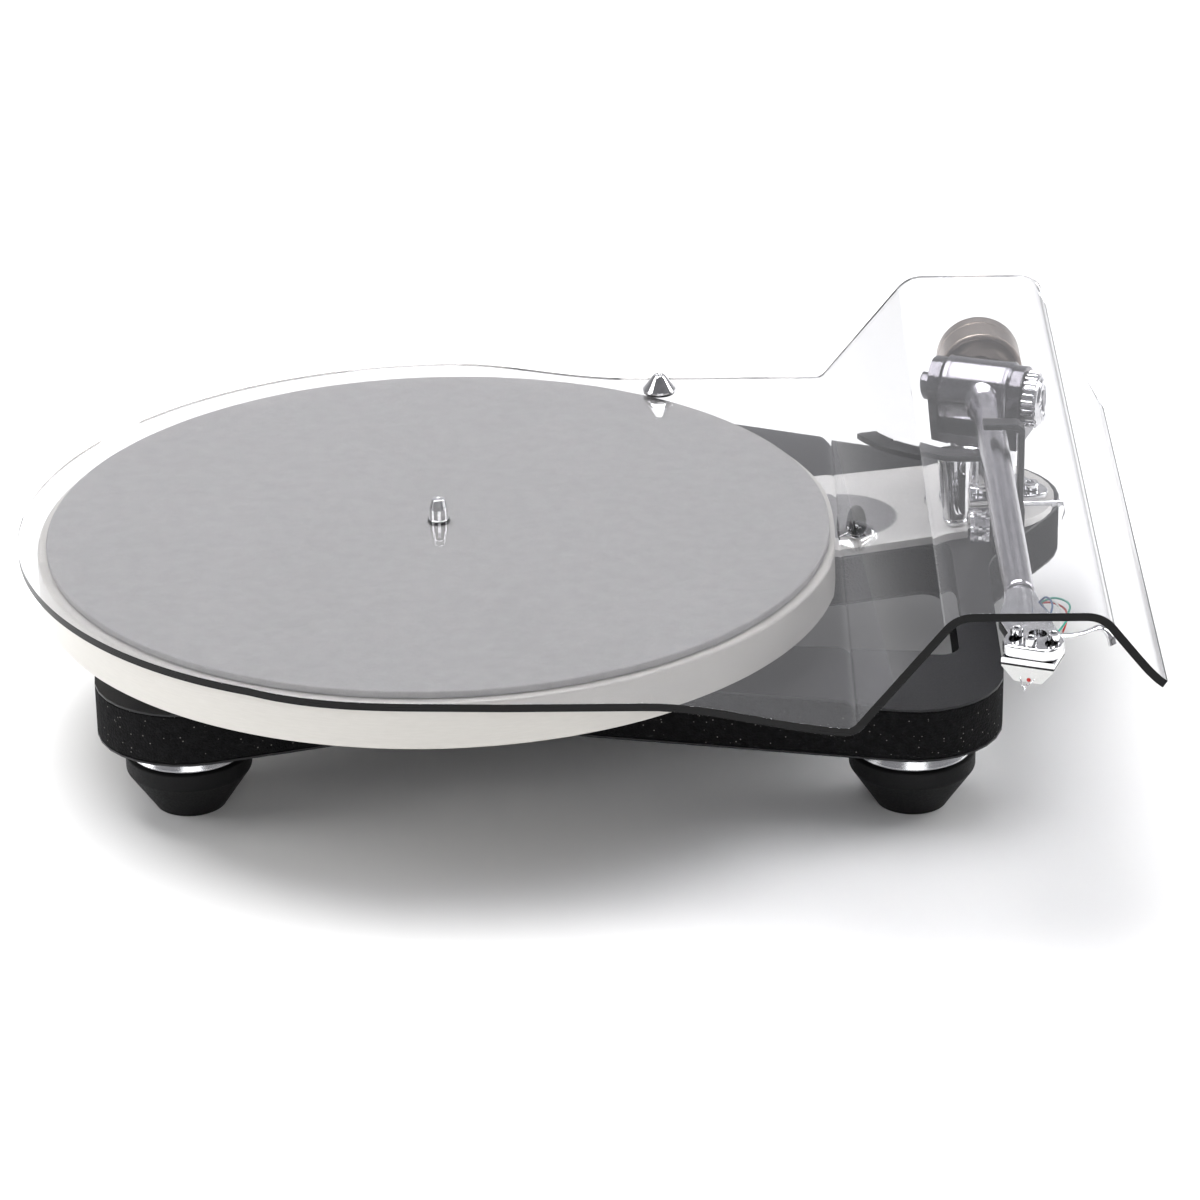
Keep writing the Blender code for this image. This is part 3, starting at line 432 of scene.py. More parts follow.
def through(points, steps=6):
    """A smooth curve through points."""
    points = [Vector(p) for p in points]
    ends = [points[0] * 2 - points[1], *points, points[-1] * 2 - points[-2]]
    curve = []
    for a, b, c, d in zip(ends, ends[1:], ends[2:], ends[3:]):
        for k in range(steps):
            t = k / steps
            curve.append(0.5 * (2 * b + (c - a) * t + (2 * a - 5 * b + 4 * c - d) * t * t
                                + (3 * b - a - 3 * c + d) * t ** 3))
    return curve + [points[-1]]


def swept(made, path, size, sides=12, look=0, flat=1.0, up=Vector((0, 0, 1)), looped=False):
    """Adds a bar along a path. size is its radius, or one for each point; flat squeezes it along up."""
    sizes = size if isinstance(size, list) else [size] * len(path)
    uv = made.loops.layers.uv.verify()
    rings, run = [], [0.0]
    for i, here in enumerate(path):
        before = path[i - 1] if i or looped else here
        after = path[(i + 1) % len(path)] if i < len(path) - 1 or looped else here
        along = (after - before).normalized()
        across = along.cross(up)
        across = (across if across.length > 0.05 else along.orthogonal()).normalized()
        over = across.cross(along)
        turns = [2 * math.pi * k / sides for k in range(sides)]
        rings.append([made.verts.new(here + (across * math.cos(t) + over * math.sin(t) * flat) * sizes[i])
                      for t in turns])
        run.append(run[-1] + (after - here).length)
    for a in range(len(rings) if looped else len(rings) - 1):
        one, other = rings[a], rings[(a + 1) % len(rings)]
        for k in range(sides):
            m = (k + 1) % sides
            face = made.faces.new((one[k], one[m], other[m], other[k]))
            face.material_index = look
            for loop, (u, v) in zip(face.loops, ((k, a), (k + 1, a), (k + 1, a + 1), (k, a + 1))):
                loop[uv].uv = (u / sides * 6.28 * max(sizes) * MM, run[v] * MM)
    if not looped:
        for ring in (rings[0][::-1], rings[-1]):
            made.faces.new(ring).material_index = look


def from_cad(node, edge, angle=30.0, segments=2):
    """A bmesh drawn in millimetres: a CAD node's mesh merged, its flats made whole and its edges rounded."""
    made = bmesh.new()
    made.from_mesh(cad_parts[node].data)
    made.transform(Matrix.Translation(-AXIS) @ Matrix.Scale(1 / MM, 4))
    bmesh.ops.remove_doubles(made, verts=made.verts, dist=1e-3)
    bmesh.ops.dissolve_limit(made, angle_limit=math.radians(1), verts=made.verts, edges=made.edges)
    sharp = [e for e in made.edges if len(e.link_faces) == 2 and e.calc_face_angle(0) > math.radians(angle)]
    bmesh.ops.bevel(made, geom=sharp, offset=edge, segments=segments, profile=0.5, affect="EDGES",
                    clamp_overlap=True)
    return made


def mesh_of(name, made, looks, sharp=32.0):
    """A mesh in metres from a bmesh drawn in millimetres, shaded smooth between its sharp edges."""
    bmesh.ops.remove_doubles(made, verts=made.verts, dist=1e-4)
    bmesh.ops.recalc_face_normals(made, faces=made.faces)
    made.transform(Matrix.Scale(MM, 4) @ Matrix.Translation(AXIS))
    mesh = bpy.data.meshes.new(name)
    made.to_mesh(mesh)
    made.free()
    for look in looks:
        mesh.materials.append(LOOKS[look])
    mesh.polygons.foreach_set("use_smooth", [True] * len(mesh.polygons))
    mesh.set_sharp_from_angle(angle=math.radians(sharp))
    return mesh


def piece(name, made, body, looks, slot, *nodes, sharp=32.0):
    """The finished object of a bmesh drawn in millimetres: it rides on a body and stands for CAD nodes."""
    obj = bpy.data.objects.new(name, mesh_of(name, made, looks, sharp))
    bpy.context.scene.collection.objects.link(obj)
    # Large flats stay flat to the eye beside their small rounded edges.
    even = obj.modifiers.new("even_shading", "WEIGHTED_NORMAL")
    even.keep_sharp, even.weight = True, 100
    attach(obj, body)
    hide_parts(*nodes)
    return obj


def dressed(node, ending, edge, body, look, slot, segments=2, angle=30.0, sharp=32.0):
    """The piece of a CAD node that keeps its own shape, with its edges rounded."""
    return piece(node + ending, from_cad(node, edge, angle, segments), body, [look], slot, node, sharp=sharp)


def carved(made, cutter):
    """made less cutter, both drawn in millimetres; each keeps its material numbers."""
    objects = []
    for name, shape in (("carved_form", made), ("carved_cutter", cutter)):
        bmesh.ops.recalc_face_normals(shape, faces=shape.faces)
        mesh = bpy.data.meshes.new(name)
        shape.to_mesh(mesh)
        shape.free()
        for _ in range(3):
            mesh.materials.append(None)
        objects.append(bpy.data.objects.new(name, mesh))
        bpy.context.scene.collection.objects.link(objects[-1])
    boolean = objects[0].modifiers.new("carve", "BOOLEAN")
    boolean.operation, boolean.solver, boolean.object = "DIFFERENCE", "EXACT", objects[1]
    graph = bpy.context.evaluated_depsgraph_get()
    result = bmesh.new()
    result.from_mesh(objects[0].evaluated_get(graph).to_mesh())
    for obj in objects:
        bpy.data.objects.remove(obj)
    return result


def spread_tree():
    """Geometry Nodes that repeat a shape round a circle in rows: screws, ribs and knurl points."""
    tree = bpy.data.node_groups.new("spread_round", "GeometryNodeTree")
    for name, kind, default in (("Shape", "NodeSocketObject", None), ("Count", "NodeSocketInt", 3),
                                ("Radius", "NodeSocketFloat", 0.01), ("Rows", "NodeSocketInt", 1),
                                ("Row Step", "NodeSocketVector", (0, 0, 0.001)),
                                ("First Angle", "NodeSocketFloat", 0.0), ("Row Turn", "NodeSocketFloat", 0.0),
                                ("Own Turn", "NodeSocketFloat", 0.0), ("Seed", "NodeSocketInt", 1),
                                ("Finish", "NodeSocketMaterial", None)):
        socket = tree.interface.new_socket(name, in_out="INPUT", socket_type=kind)
        if default is not None:
            socket.default_value = default
    tree.interface.new_socket("Geometry", in_out="OUTPUT", socket_type="NodeSocketGeometry")
    given = add(tree, "NodeGroupInput").outputs
    shape = add(tree, "GeometryNodeObjectInfo", {"Object": given["Shape"]})
    # A point for each shape: the index gives its place in the row and its row.
    total = add(tree, "ShaderNodeMath", {0: given["Count"], 1: given["Rows"]}, operation="MULTIPLY")
    index = add(tree, "GeometryNodeInputIndex").outputs[0]
    row = add(tree, "ShaderNodeMath", {0: index, 1: given["Count"]}, operation="DIVIDE")
    row = add(tree, "ShaderNodeMath", {0: row.outputs[0]}, operation="FLOOR")
    step = add(tree, "ShaderNodeMath", {0: 2 * math.pi, 1: given["Count"]}, operation="DIVIDE")
    angle = add(tree, "ShaderNodeMath", {0: index, 1: step.outputs[0], 2: given["First Angle"]},
                operation="MULTIPLY_ADD")
    angle = add(tree, "ShaderNodeMath", {0: row.outputs[0], 1: given["Row Turn"], 2: angle.outputs[0]},
                operation="MULTIPLY_ADD")
    cosine = add(tree, "ShaderNodeMath", {0: angle.outputs[0]}, operation="COSINE")
    sine = add(tree, "ShaderNodeMath", {0: angle.outputs[0]}, operation="SINE")
    way = add(tree, "ShaderNodeCombineXYZ", {0: cosine.outputs[0], 1: sine.outputs[0]})
    out = add(tree, "ShaderNodeVectorMath", {0: way.outputs[0], "Scale": given["Radius"]}, operation="SCALE")
    lift = add(tree, "ShaderNodeVectorMath", {0: given["Row Step"], "Scale": row.outputs[0]},
               operation="SCALE")
    place = add(tree, "ShaderNodeVectorMath", {0: out.outputs[0], 1: lift.outputs[0]}, operation="ADD")
    points = add(tree, "GeometryNodePoints", {"Count": total.outputs[0], "Position": place.outputs[0]})
    own = add(tree, "FunctionNodeRandomValue", {2: 0.0, 3: given["Own Turn"], "ID": index,
                                                "Seed": given["Seed"]}, data_type="FLOAT")
    facing = add(tree, "ShaderNodeMath", {0: angle.outputs[0], 1: own.outputs[1]}, operation="ADD")
    turn = add(tree, "ShaderNodeCombineXYZ", {2: facing.outputs[0]})
    copies = add(tree, "GeometryNodeInstanceOnPoints", {"Points": points.outputs[0],
                                                        "Instance": shape.outputs["Geometry"],
                                                        "Rotation": turn.outputs[0]})
    real = add(tree, "GeometryNodeRealizeInstances", {0: copies.outputs[0]})
    finished = add(tree, "GeometryNodeSetMaterial", {"Geometry": real.outputs[0],
                                                     "Material": given["Finish"]})
    add(tree, "NodeGroupOutput", {0: finished.outputs[0]})
    return tree


def repeated(made, shape, look, place=Matrix(), index=0, **sizes):
    """Adds copies of a shape, drawn in millimetres, spread by the tree about the z axis of place."""
    tree = bpy.data.node_groups.get("spread_round") or spread_tree()
    mesh = bpy.data.meshes.new("spread_shape")
    bmesh.ops.recalc_face_normals(shape, faces=shape.faces)
    shape.to_mesh(mesh)
    shape.free()
    template = bpy.data.objects.new("spread_shape", mesh)
    holder = bpy.data.objects.new("spread_holder", bpy.data.meshes.new("spread_holder"))
    for obj in (template, holder):
        bpy.context.scene.collection.objects.link(obj)
    modifier = holder.modifiers.new("spread", "NODES")
    modifier.node_group = tree
    values = {"Shape": template, "Finish": LOOKS[look]}
    values.update({key.replace("_", " "): value for key, value in sizes.items()})
    for socket in tree.interface.items_tree:
        if socket.in_out == "INPUT" and socket.name in values:
            modifier[socket.identifier] = values[socket.name]
    bpy.context.view_layer.update()
    graph = bpy.context.evaluated_depsgraph_get()
    result = bpy.data.meshes.new_from_object(holder.evaluated_get(graph))
    result.transform(place)
    before = len(made.faces)
    made.from_mesh(result)
    made.faces.ensure_lookup_table()
    for face in made.faces[before:]:
        face.material_index = index
    for obj in (template, holder):
        bpy.data.objects.remove(obj)


def hexagon(radius):
    return [(radius * math.cos(math.pi / 3 * k), radius * math.sin(math.pi / 3 * k)) for k in range(6)]


def screw_head(radius, tall, socket, hollow):
    """A cap screw's head with a hexagon socket, standing on z = 0."""
    made = bmesh.new()
    turned(made, [(0, 0), (radius, 0, 0.15), (radius, tall, 0.5), (socket * 1.25, tall, 0.15),
                  (socket * 1.2, tall - 0.15), (0, tall - 0.15)], count=36, steps=3)
    cutter = bmesh.new()
    slab(cutter, hexagon(socket), tall - hollow, tall + 1, 0.02, steps=1)
    return carved(made, cutter)


def screw(node, socket, hollow, seed):
    """The head of a CAD node's screw, turned by a chance angle of its own."""
    made = bmesh.new()
    repeated(made, screw_head(half_width(node), height(node), socket, hollow), "chrome", upright(node),
             Count=1, Radius=0.0, Own_Turn=1.0, Seed=seed)
    return made


def standing(point, direction, twist=0.0):
    """The matrix that puts z = 0 at a point, with the z axis along a direction."""
    turn = Vector(direction).to_track_quat("Z", "Y").to_matrix().to_4x4()
    return Matrix.Translation(point) @ turn @ Matrix.Rotation(twist, 4, "Z")


# ---- operators ---------------------------------------------------------------------------------


class TURNTABLE_OT_feet(bpy.types.Operator):
    """Three tapered rubber feet, each with a bright ring and a seat"""
    bl_idname = "turntable.feet"
    bl_label = "Feet"

    def execute(self, context):
        for name in ("front_left", "front_right", "rear"):
            cone, ring_, seat = ("foot_%s_%s" % (kind, name) for kind in ("cone", "ring", "seat"))
            base = spot(cone, up=0)
            place = Matrix.Translation(Vector((base.x, base.y, 0)))
            tall, wide = height(cone), half_width(cone)
            made = bmesh.new()
            turned(made, [(0, 1.2), (9.5, 1.2, 0.6), (10.2, 0, 0.5), (12.9, 0, 0.7), (13.6, 1.2, 0.9),
                          (wide, tall - 6.5, 2.5), (wide, tall - 0.6, 0.9), (wide - 1.4, tall, 0.5),
                          (0, tall)], place, 96)
            piece(cone + "_moulding", made, "plinth", ["rubber"], "rubber", cone)
            wide, (bottom, top) = half_width(ring_), levels(ring_)
            made = bmesh.new()
            turned(made, [(0, bottom), (wide + 1.3, bottom, 0.2), (wide + 1.2, bottom + 0.3, 0.2),
                          (wide - 0.1, top - 0.2, 0.2), (wide - 0.4, top, 0.1), (0, top)], place, 96)
            piece(ring_ + "_turning", made, "plinth", ["turned"], "aluminium", ring_)
            wide, (bottom, top) = half_width(seat), levels(seat)
            made = bmesh.new()
            turned(made, [(0, bottom), (wide, bottom, 0.5), (wide, top, 0.5), (0, top)], place, 72)
            piece(seat + "_pad", made, "plinth", ["rubber"], "rubber", seat)
        return {"FINISHED"}


class TURNTABLE_OT_plinth(bpy.types.Operator):
    """The skeletal plinth: foam core, laminate skins, two braces, the gloss stud and the rear fittings"""
    bl_idname = "turntable.plinth"
    bl_label = "Plinth"

    def execute(self, context):
        edge = context.scene.turntable_sizes.edge / MM
        piece("plinth_foam_core", from_cad("plinth_core", 0.25, segments=1), "plinth", ["foam"], "foam",
              "plinth_core")
        for node in ("plinth_top_skin", "plinth_bottom_skin"):
            dressed(node, "_sheet", 0.25, "plinth", "laminate", "laminate")
        dressed("top_brace", "_plate", edge, "plinth", "brace", "ceramic")
        dressed("bottom_brace", "_plate", edge, "plinth", "laminate", "laminate")
        tall, wide, place = height("brace_stud"), half_width("brace_stud"), upright("brace_stud")
        made = bmesh.new()
        dome = [(wide * math.cos(t) ** 0.85, tall * (0.28 + 0.72 * math.sin(t)))
                for t in (math.pi / 2 * k / 14 for k in range(14))]
        turned(made, [(0, 1.3), (wide * 0.72, 1.3, 0.3), *dome, (0, tall)], place, 64)
        turned(made, [(0, 0), (wide * 0.98, 0, 0.3), (wide * 0.98, 0.7, 0.3), (wide * 0.7, 1.1, 0.3),
                      (wide * 0.7, 1.6), (0, 1.6)], place, 64, 1)
        piece("brace_stud_dome", made, "plinth", ["gloss", "chrome"], "black_plastic", "brace_stud")
        dressed("signal_gland", "_fitting", 0.5, "plinth", "plastic", "black_plastic")
        dressed("power_inlet", "_fitting", 0.5, "plinth", "turned", "aluminium")
        return {"FINISHED"}


class TURNTABLE_OT_drive(bpy.types.Operator):
    """Main bearing, spindle, sub-platter, motor, pulley and the two belts"""
    bl_idname = "turntable.drive"
    bl_label = "Bearing and drive"

    def execute(self, context):
        bottom, top = levels("spindle")
        wide = 3.5  # the record's hole passes over this radius
        hub = spot("sub_platter", up=0).z + 2
        shaft = half_width("spindle")
        made = bmesh.new()
        turned(made, [(0, bottom), (shaft, bottom, 0.6), (shaft, hub, 0.3), (wide, hub, 0.2),
                      (wide, top - 9.0), (wide + 0.35, top - 8.9, 0.15), (wide + 0.35, top - 8.0, 0.2),
                      (wide - 0.1, top - 7.9, 0.1), (wide - 0.1, top - 4.0, 0.25),
                      (wide - 1.0, top - 0.3, 0.3), (wide - 1.3, top, 0.2), (0.9, top, 0.15),
                      (0.7, top - 1.4), (0, top - 1.8)], count=64, steps=3)
        piece("spindle_turning", made, "platter", ["chrome"], "polished", "spindle")
        dressed("sub_platter", "_turning", 0.3, "platter", "turned", "aluminium")
        dressed("bearing_housing", "_turning", 0.4, "plinth", "brass", "brass")
        ball = spot("thrust_ball")
        radius = height("thrust_ball") / 2
        made = bmesh.new()
        bmesh.ops.create_icosphere(made, subdivisions=4, radius=radius, matrix=Matrix.Translation(ball))
        piece("thrust_ball_ground", made, "plinth", ["chrome"], "polished", "thrust_ball")
        tall, wide = height("motor_can"), half_width("motor_can")
        made = bmesh.new()
        turned(made, [(0, 0.6), (wide * 0.35, 0.6, 0.3), (wide * 0.4, 0, 0.3), (wide - 0.6, 0, 1.0),
                      (wide, 1.2, 0.8), (wide, tall - 1, 0.8), (wide - 2, tall, 0.5), (5.5, tall, 0.3),
                      (5.0, tall - 0.6, 0.2), (0, tall - 0.6)], upright("motor_can"), 72)
        piece("motor_can_pressing", made, "plinth", ["dark"], "dark_metal", "motor_can")
        dressed("motor_rim", "_turning", 0.4, "plinth", "turned", "aluminium")
        dressed("motor_pulley", "_turning", 0.2, "pulley", "turned", "aluminium")
        for node in ("drive_belt_upper", "drive_belt_lower"):
            dressed(node, "_loop", 0.05, "plinth", "belt", "belt", angle=200, sharp=80)
        return {"FINISHED"}


class TURNTABLE_OT_platter(bpy.types.Operator):
    """The ceramic platter and its felt mat"""
    bl_idname = "turntable.platter"
    bl_label = "Platter and mat"

    def execute(self, context):
        sizes = context.scene.turntable_sizes
        wide, (bottom, top) = half_width("platter"), levels("platter")
        edge = sizes.platter_edge / MM
        recess = spot("sub_platter", up=1).z + 0.3
        hole, hollow = 3.8, 108  # radii of the spindle's hole and of the recess underneath
        made = bmesh.new()
        turned(made, [(hollow, bottom, 0.8), (wide, bottom, edge), (wide, top, edge), (hole, top, 0.3),
                      (hole, recess, 0.3), (hollow, recess, 1.5)], count=256)
        piece("platter_disc", made, "platter", ["ceramic"], "ceramic", "platter")
        wide, (bottom, top) = half_width("platter_mat"), levels("platter_mat")
        made = bmesh.new()
        turned(made, [(hole, bottom, 0.2), (wide, bottom, 0.3), (wide, top, sizes.mat_edge / MM),
                      (hole, top, 0.4)], count=256)
        piece("platter_mat_felt", made, "platter", ["felt"], "felt", "platter_mat")
        return {"FINISHED"}


class TURNTABLE_OT_arm_base(bpy.types.Operator):
    """The tonearm's three-point flange, its pillar and the yoke that the arm pitches in"""
    bl_idname = "turntable.arm_base"
    bl_label = "Arm base and yoke"

    def execute(self, context):
        dressed("arm_flange", "_casting", 0.9, "plinth", "polished", "polished", 3)
        tall, wide = height("arm_pillar"), half_width("arm_pillar")
        made = bmesh.new()
        turned(made, [(0, 0), (wide, 0, 0.4), (wide, 2.2, 0.3), (wide - 0.6, 2.6, 0.2),
                      (wide - 0.6, 3.6, 0.2), (wide, 4.0, 0.3), (wide, tall - 0.8, 0.5),
                      (wide - 0.8, tall, 0.4), (0, tall)], upright("arm_pillar"), 96)
        piece("arm_pillar_turning", made, "plinth", ["polished"], "polished", "arm_pillar")
        for k in (1, 2, 3):
            node = "flange_screw_%d" % k
            piece(node + "_head", screw(node, 1.6, 1.5, 7), "plinth", ["chrome"], "polished", node)

        # The yoke is cut from one block: cheeks left and right of the barrel.
        dressed("arm_yoke", "_milling", 1.0, "yoke", "dark", "dark_metal", 3)
        axle = axle_line()
        made = bmesh.new()
        turned(made, [(0, -1.5), (5.5, -1.5, 0.3), (5.5, 3.6, 0.7), (4.3, 4.6, 0.3), (2.2, 4.6, 0.2),
                      (1.9, 4.1, 0.1), (0, 4.1)], standing(spot("yoke_cap"), -axle), 64)
        piece("yoke_cap_turning", made, "yoke", ["dark"], "polished", "yoke_cap")
        dressed("pitch_axle", "_pin", 0.2, "yoke", "polished", "polished")

        # The dial: a ribbed drum, a bright patterned face and a dark end cap.
        place = standing(spot("force_dial"), axle)
        made = bmesh.new()
        turned(made, [(0, -4), (9.4, -4, 0.4), (9.4, 1.4, 0.2), (9.9, 1.6, 0.1), (9.9, 2.2, 0.1),
                      (9.2, 2.4, 0.2), (8.4, 3.4, 0.3), (0, 3.4)], place, 72, 0)
        turned(made, [(0, 3.2), (4.4, 3.2, 0.2), (4.4, 3.7, 0.3), (3.4, 4.0, 0.3), (0, 4.0)], place, 48, 1)
        rib = bmesh.new()
        slab(rib, [(-0.9, -0.75), (0.8, -0.6), (1.05, -0.3), (1.05, 0.3), (0.8, 0.6), (-0.9, 0.75)],
             -3.7, 1.2, 0.25, steps=2)
        repeated(made, rib, "polished", place, Count=context.scene.turntable_sizes.dial_ribs, Radius=9.9)
        facet = bmesh.new()
        slab(facet, [(-1.2, -0.5), (1.3, -0.7), (1.3, 0.7), (-1.2, 0.5)], 2.6, 3.7, 0.2, steps=2)
        repeated(made, facet, "polished", place, Count=14, Radius=6.6, Own_Turn=1.4, Seed=11)
        piece("force_dial_knurled", made, "force_dial", ["polished", "dark"], "polished", "force_dial")
        return {"FINISHED"}


def axle_line():
    """The direction of the pitch axle, from its cap to the dial."""
    return (spot("force_dial") - spot("yoke_cap")).normalized()


def pivot():
    """The point where the arm turns and pitches, and the tip of its tube."""
    place = spot("arm_pillar")
    return Vector((place.x, place.y, spot("pitch_axle").z)), spot("arm_tube", 0.5, 0, 0.5)


class TURNTABLE_OT_arm(bpy.types.Operator):
    """The one-piece barrel and tube, the stub behind it and the counterweight"""
    bl_idname = "turntable.arm"
    bl_label = "Tonearm"

    def execute(self, context):
        centre, tip = pivot()
        axle, forward = axle_line(), Vector((0, -1, 0))
        reach = centre.y - tip.y
        made = bmesh.new()
        # A cast flare carries the tube out of the barrel; a collar ends it at the headshell.
        turned(made, [(0, 4), (9.0, 4), (9.0, 10.0, 1.5), (6.6, 15.0, 3.0), (5.75, 24.0, 6.0),
                      (5.65, reach - 6), (5.65, reach - 4.4, 0.2), (5.7, reach - 4.0, 0.2),
                      (5.7, reach - 1.2, 0.3), (5.2, reach, 0.5), (0, reach)], standing(centre, forward), 72)
        drum, groove = 13.5, 13.2
        turned(made, [(0, -15.5), (drum - 1.2, -15.5, 0.3), (drum, -14.4, 0.4), (drum, -12.6, 0.1),
                      (groove, -12.4, 0.1), (groove, -12.0, 0.1), (drum, -11.8, 0.1), (drum, 9.6, 0.1),
                      (groove, 9.8, 0.1), (groove, 10.2, 0.1), (drum, 10.4, 0.1), (drum, 11.2, 0.4),
                      (drum - 1.1, 12, 0.3), (0, 12)], standing(centre, axle), 96, 1)
        piece("arm_tube_casting", made, "arm", ["satin", "nickel"], "aluminium", "arm_tube")
        dressed("weight_stub", "_turning", 0.4, "arm", "polished", "aluminium")
        wide, thick = half_width("counterweight"), span("counterweight")[1]
        front = spot("counterweight", 0.5, 0, 0.5)
        bowl = [(wide - 2.2 - (wide - 9.0) * k / 8 * 0.9, 4.8 * math.sin(math.pi / 2 * k / 8) ** 0.8)
                for k in range(1, 9)]
        made = bmesh.new()
        turned(made, [(5.35, 5.2, 0.2), (5.35, thick - 0.3, 0.3), (wide - 5, thick - 0.3, 0.4),
                      (wide - 4.6, thick, 0.2), (wide, thick, 1.2), (wide, thick * 0.66, 0.1),
                      (wide - 0.25, thick * 0.65, 0.1), (wide - 0.25, thick * 0.62, 0.1),
                      (wide, thick * 0.61, 0.1), (wide, 0, 1.0), (wide - 2.0, 0, 0.5), *bowl],
               standing(front, -forward), 96)
        piece("counterweight_turning", made, "counterweight", ["tungsten"], "tungsten", "counterweight")
        return {"FINISHED"}


class TURNTABLE_OT_head(bpy.types.Operator):
    """Headshell, cartridge with its screws, guard, cantilever and leads, and the finger lift"""
    bl_idname = "turntable.head"
    bl_label = "Headshell and cartridge"

    def execute(self, context):
        centre, tip = pivot()
        spin = math.radians(-20.0)  # the headshell's turn against the tube
        needle = Vector((centre.x - 1.5, centre.y - 237.5, 0))

        def from_stylus(across, behind, up=0.0):
            moved = Matrix.Rotation(spin, 3, "Z") @ Vector((across, behind, 0))
            return Vector((needle.x + moved.x, needle.y + moved.y, up))

        bottom, top = levels("headshell")
        mid = (bottom + top) / 2
        # The plate has two slots, a large round hole and a small one, cut through.
        plate = [from_stylus(*p)[:2] for p in ((-10.2, 14), (-10.2, 7.5), (-8.6, 4.4), (-5.5, 3.05),
                                               (5.5, 3.05), (8.6, 4.4), (10.2, 7.5), (10.2, 14))]
        neck = tip.y - 0.5
        outline = [(centre.x - 5.5, neck + 0.3), (centre.x - 6.2, neck - 8), (centre.x - 8.6, neck - 19),
                   *plate, (centre.x + 9.6, neck - 19), (centre.x + 6.6, neck - 8),
                   (centre.x + 5.5, neck + 0.3)]
        made = bmesh.new()
        slab(made, outline, bottom, top, 0.8)
        holes = ((-6.5, 10.2, 2.1, 3.9), (6.5, 10.2, 2.1, 3.9), (0, 16.0, 3.2, 3.4), (0, 7.4, 2.2, 2.4))
        for across, behind, half, deep in holes:
            cutter = bmesh.new()
            ring = [from_stylus(across + half * math.cos(t), behind + deep * math.sin(t))[:2]
                    for t in (2 * math.pi * k / 28 for k in range(28))]
            slab(cutter, ring, bottom - 1, top + 1, 0.02, steps=1)
            made = carved(made, cutter)
        # The neck swells from the tube's collar into the plate.
        path = [Vector((centre.x, neck - d, mid + u)) for d, u in ((0.1, 0), (3, 0), (8, -0.1), (14, -0.3),
                                                                   (20, -0.5), (25, -0.8))]
        swept(made, through(path), [5.3 - 1.3 * (k / 30) ** 2 * (k > 6) for k in range(31)], 32, 0, 0.8)
        piece("headshell_casting", made, "arm", ["polished"], "polished", "headshell")

        for k in (1, 2, 3):
            node = "cartridge_screw_%d" % k
            made = screw(node, 1.15, 1.3, 3 + k)
            shank = 2.4 if k < 3 else 4.0
            turned(made, [(0, -shank), (1.25, -shank, 0.2), (1.25, 0.3), (0, 0.3)], upright(node), 24)
            if k == 3:
                turned(made, [(1.3, -4.2), (2.25, -4.2, 0.2), (2.25, -0.1, 0.2), (1.3, -0.1)], upright(node),
                       32)
            piece(node + "_head", made, "arm", ["chrome"], "polished", node)

        under, over = levels("cartridge_body")
        made = bmesh.new()

        def layer(z, wide, ahead, behind):
            ring = []
            for k in range(9):
                t = k / 8 * 2 - 1
                ring.append(from_stylus(t * wide, ahead - 0.1 * (1 - t * t), z))
            ring += [from_stylus(wide * 0.98, behind, z), from_stylus(-wide * 0.98, behind, z)]
            return [made.verts.new(p) for p in ring]

        front, back = 3.6, 18.3
        rows = [layer(over, 9.2, front, back), layer(over - 0.3, 9.5, front - 0.05, back),
                layer(over - 2.0, 9.5, front, back), layer(over - 2.1, 9.1, front + 0.4, back - 0.2),
                layer(over - 2.7, 9.1, front + 0.4, back - 0.2), layer(over - 2.8, 9.4, front, back),
                layer(over - 3.4, 9.3, front, back), layer(under + 0.5, 5.2, front + 0.8, back - 2.8),
                layer(under, 4.6, front + 1.2, back - 3.2)]
        for number, (one, other) in enumerate(zip(rows, rows[1:])):
            for i in range(len(one)):
                j = (i + 1) % len(one)
                made.faces.new((one[i], one[j], other[j], other[i])).material_index = (
                    1 if number < 2 else 2 if number < 5 else 0)
        made.faces.new(rows[0]).material_index = 1
        made.faces.new(rows[-1])
        ahead = from_stylus(0, -1) - from_stylus(0, 0)
        turned(made, [(0, -0.3), (0.75, -0.3), (0.75, 0.35, 0.3), (0, 0.5)],
               standing(from_stylus(0.4, front + 0.6, under + 1.4), ahead), 20, 3)
        piece("cartridge_shell", made, "arm", ["shell", "polished", "plastic", "red"], "white_plastic",
              "cartridge_body", sharp=25)

        # Cantilever, its diamond and the wire guard in front of it.
        point = levels("cantilever")[0]
        made = bmesh.new()
        path = [from_stylus(0, front + 4, under - 0.5), from_stylus(0, 3, point + 1.6),
                from_stylus(0, 0.2, point + 0.5)]
        swept(made, through(path), 0.22, 12)
        turned(made, [(0, 0), (0.1, 0.25), (0.22, 0.7), (0, 0.7)],
               Matrix.Translation(from_stylus(0, 0.1, point)), 12)
        guard = [from_stylus(-2.6, front + 1.0, under + 2.6), from_stylus(-2.4, front + 0.3, under + 1.2),
                 from_stylus(-1.7, front - 0.2, under - 0.9), from_stylus(-0.8, front - 0.3, under - 1.25),
                 from_stylus(0.2, front - 0.2, under - 0.7), from_stylus(2.2, front + 0.3, under + 1.3),
                 from_stylus(2.5, front + 0.9, under + 2.4)]
        swept(made, through(guard), 0.25, 10)
        piece("cantilever_and_guard", made, "arm", ["chrome"], "polished", "cantilever")

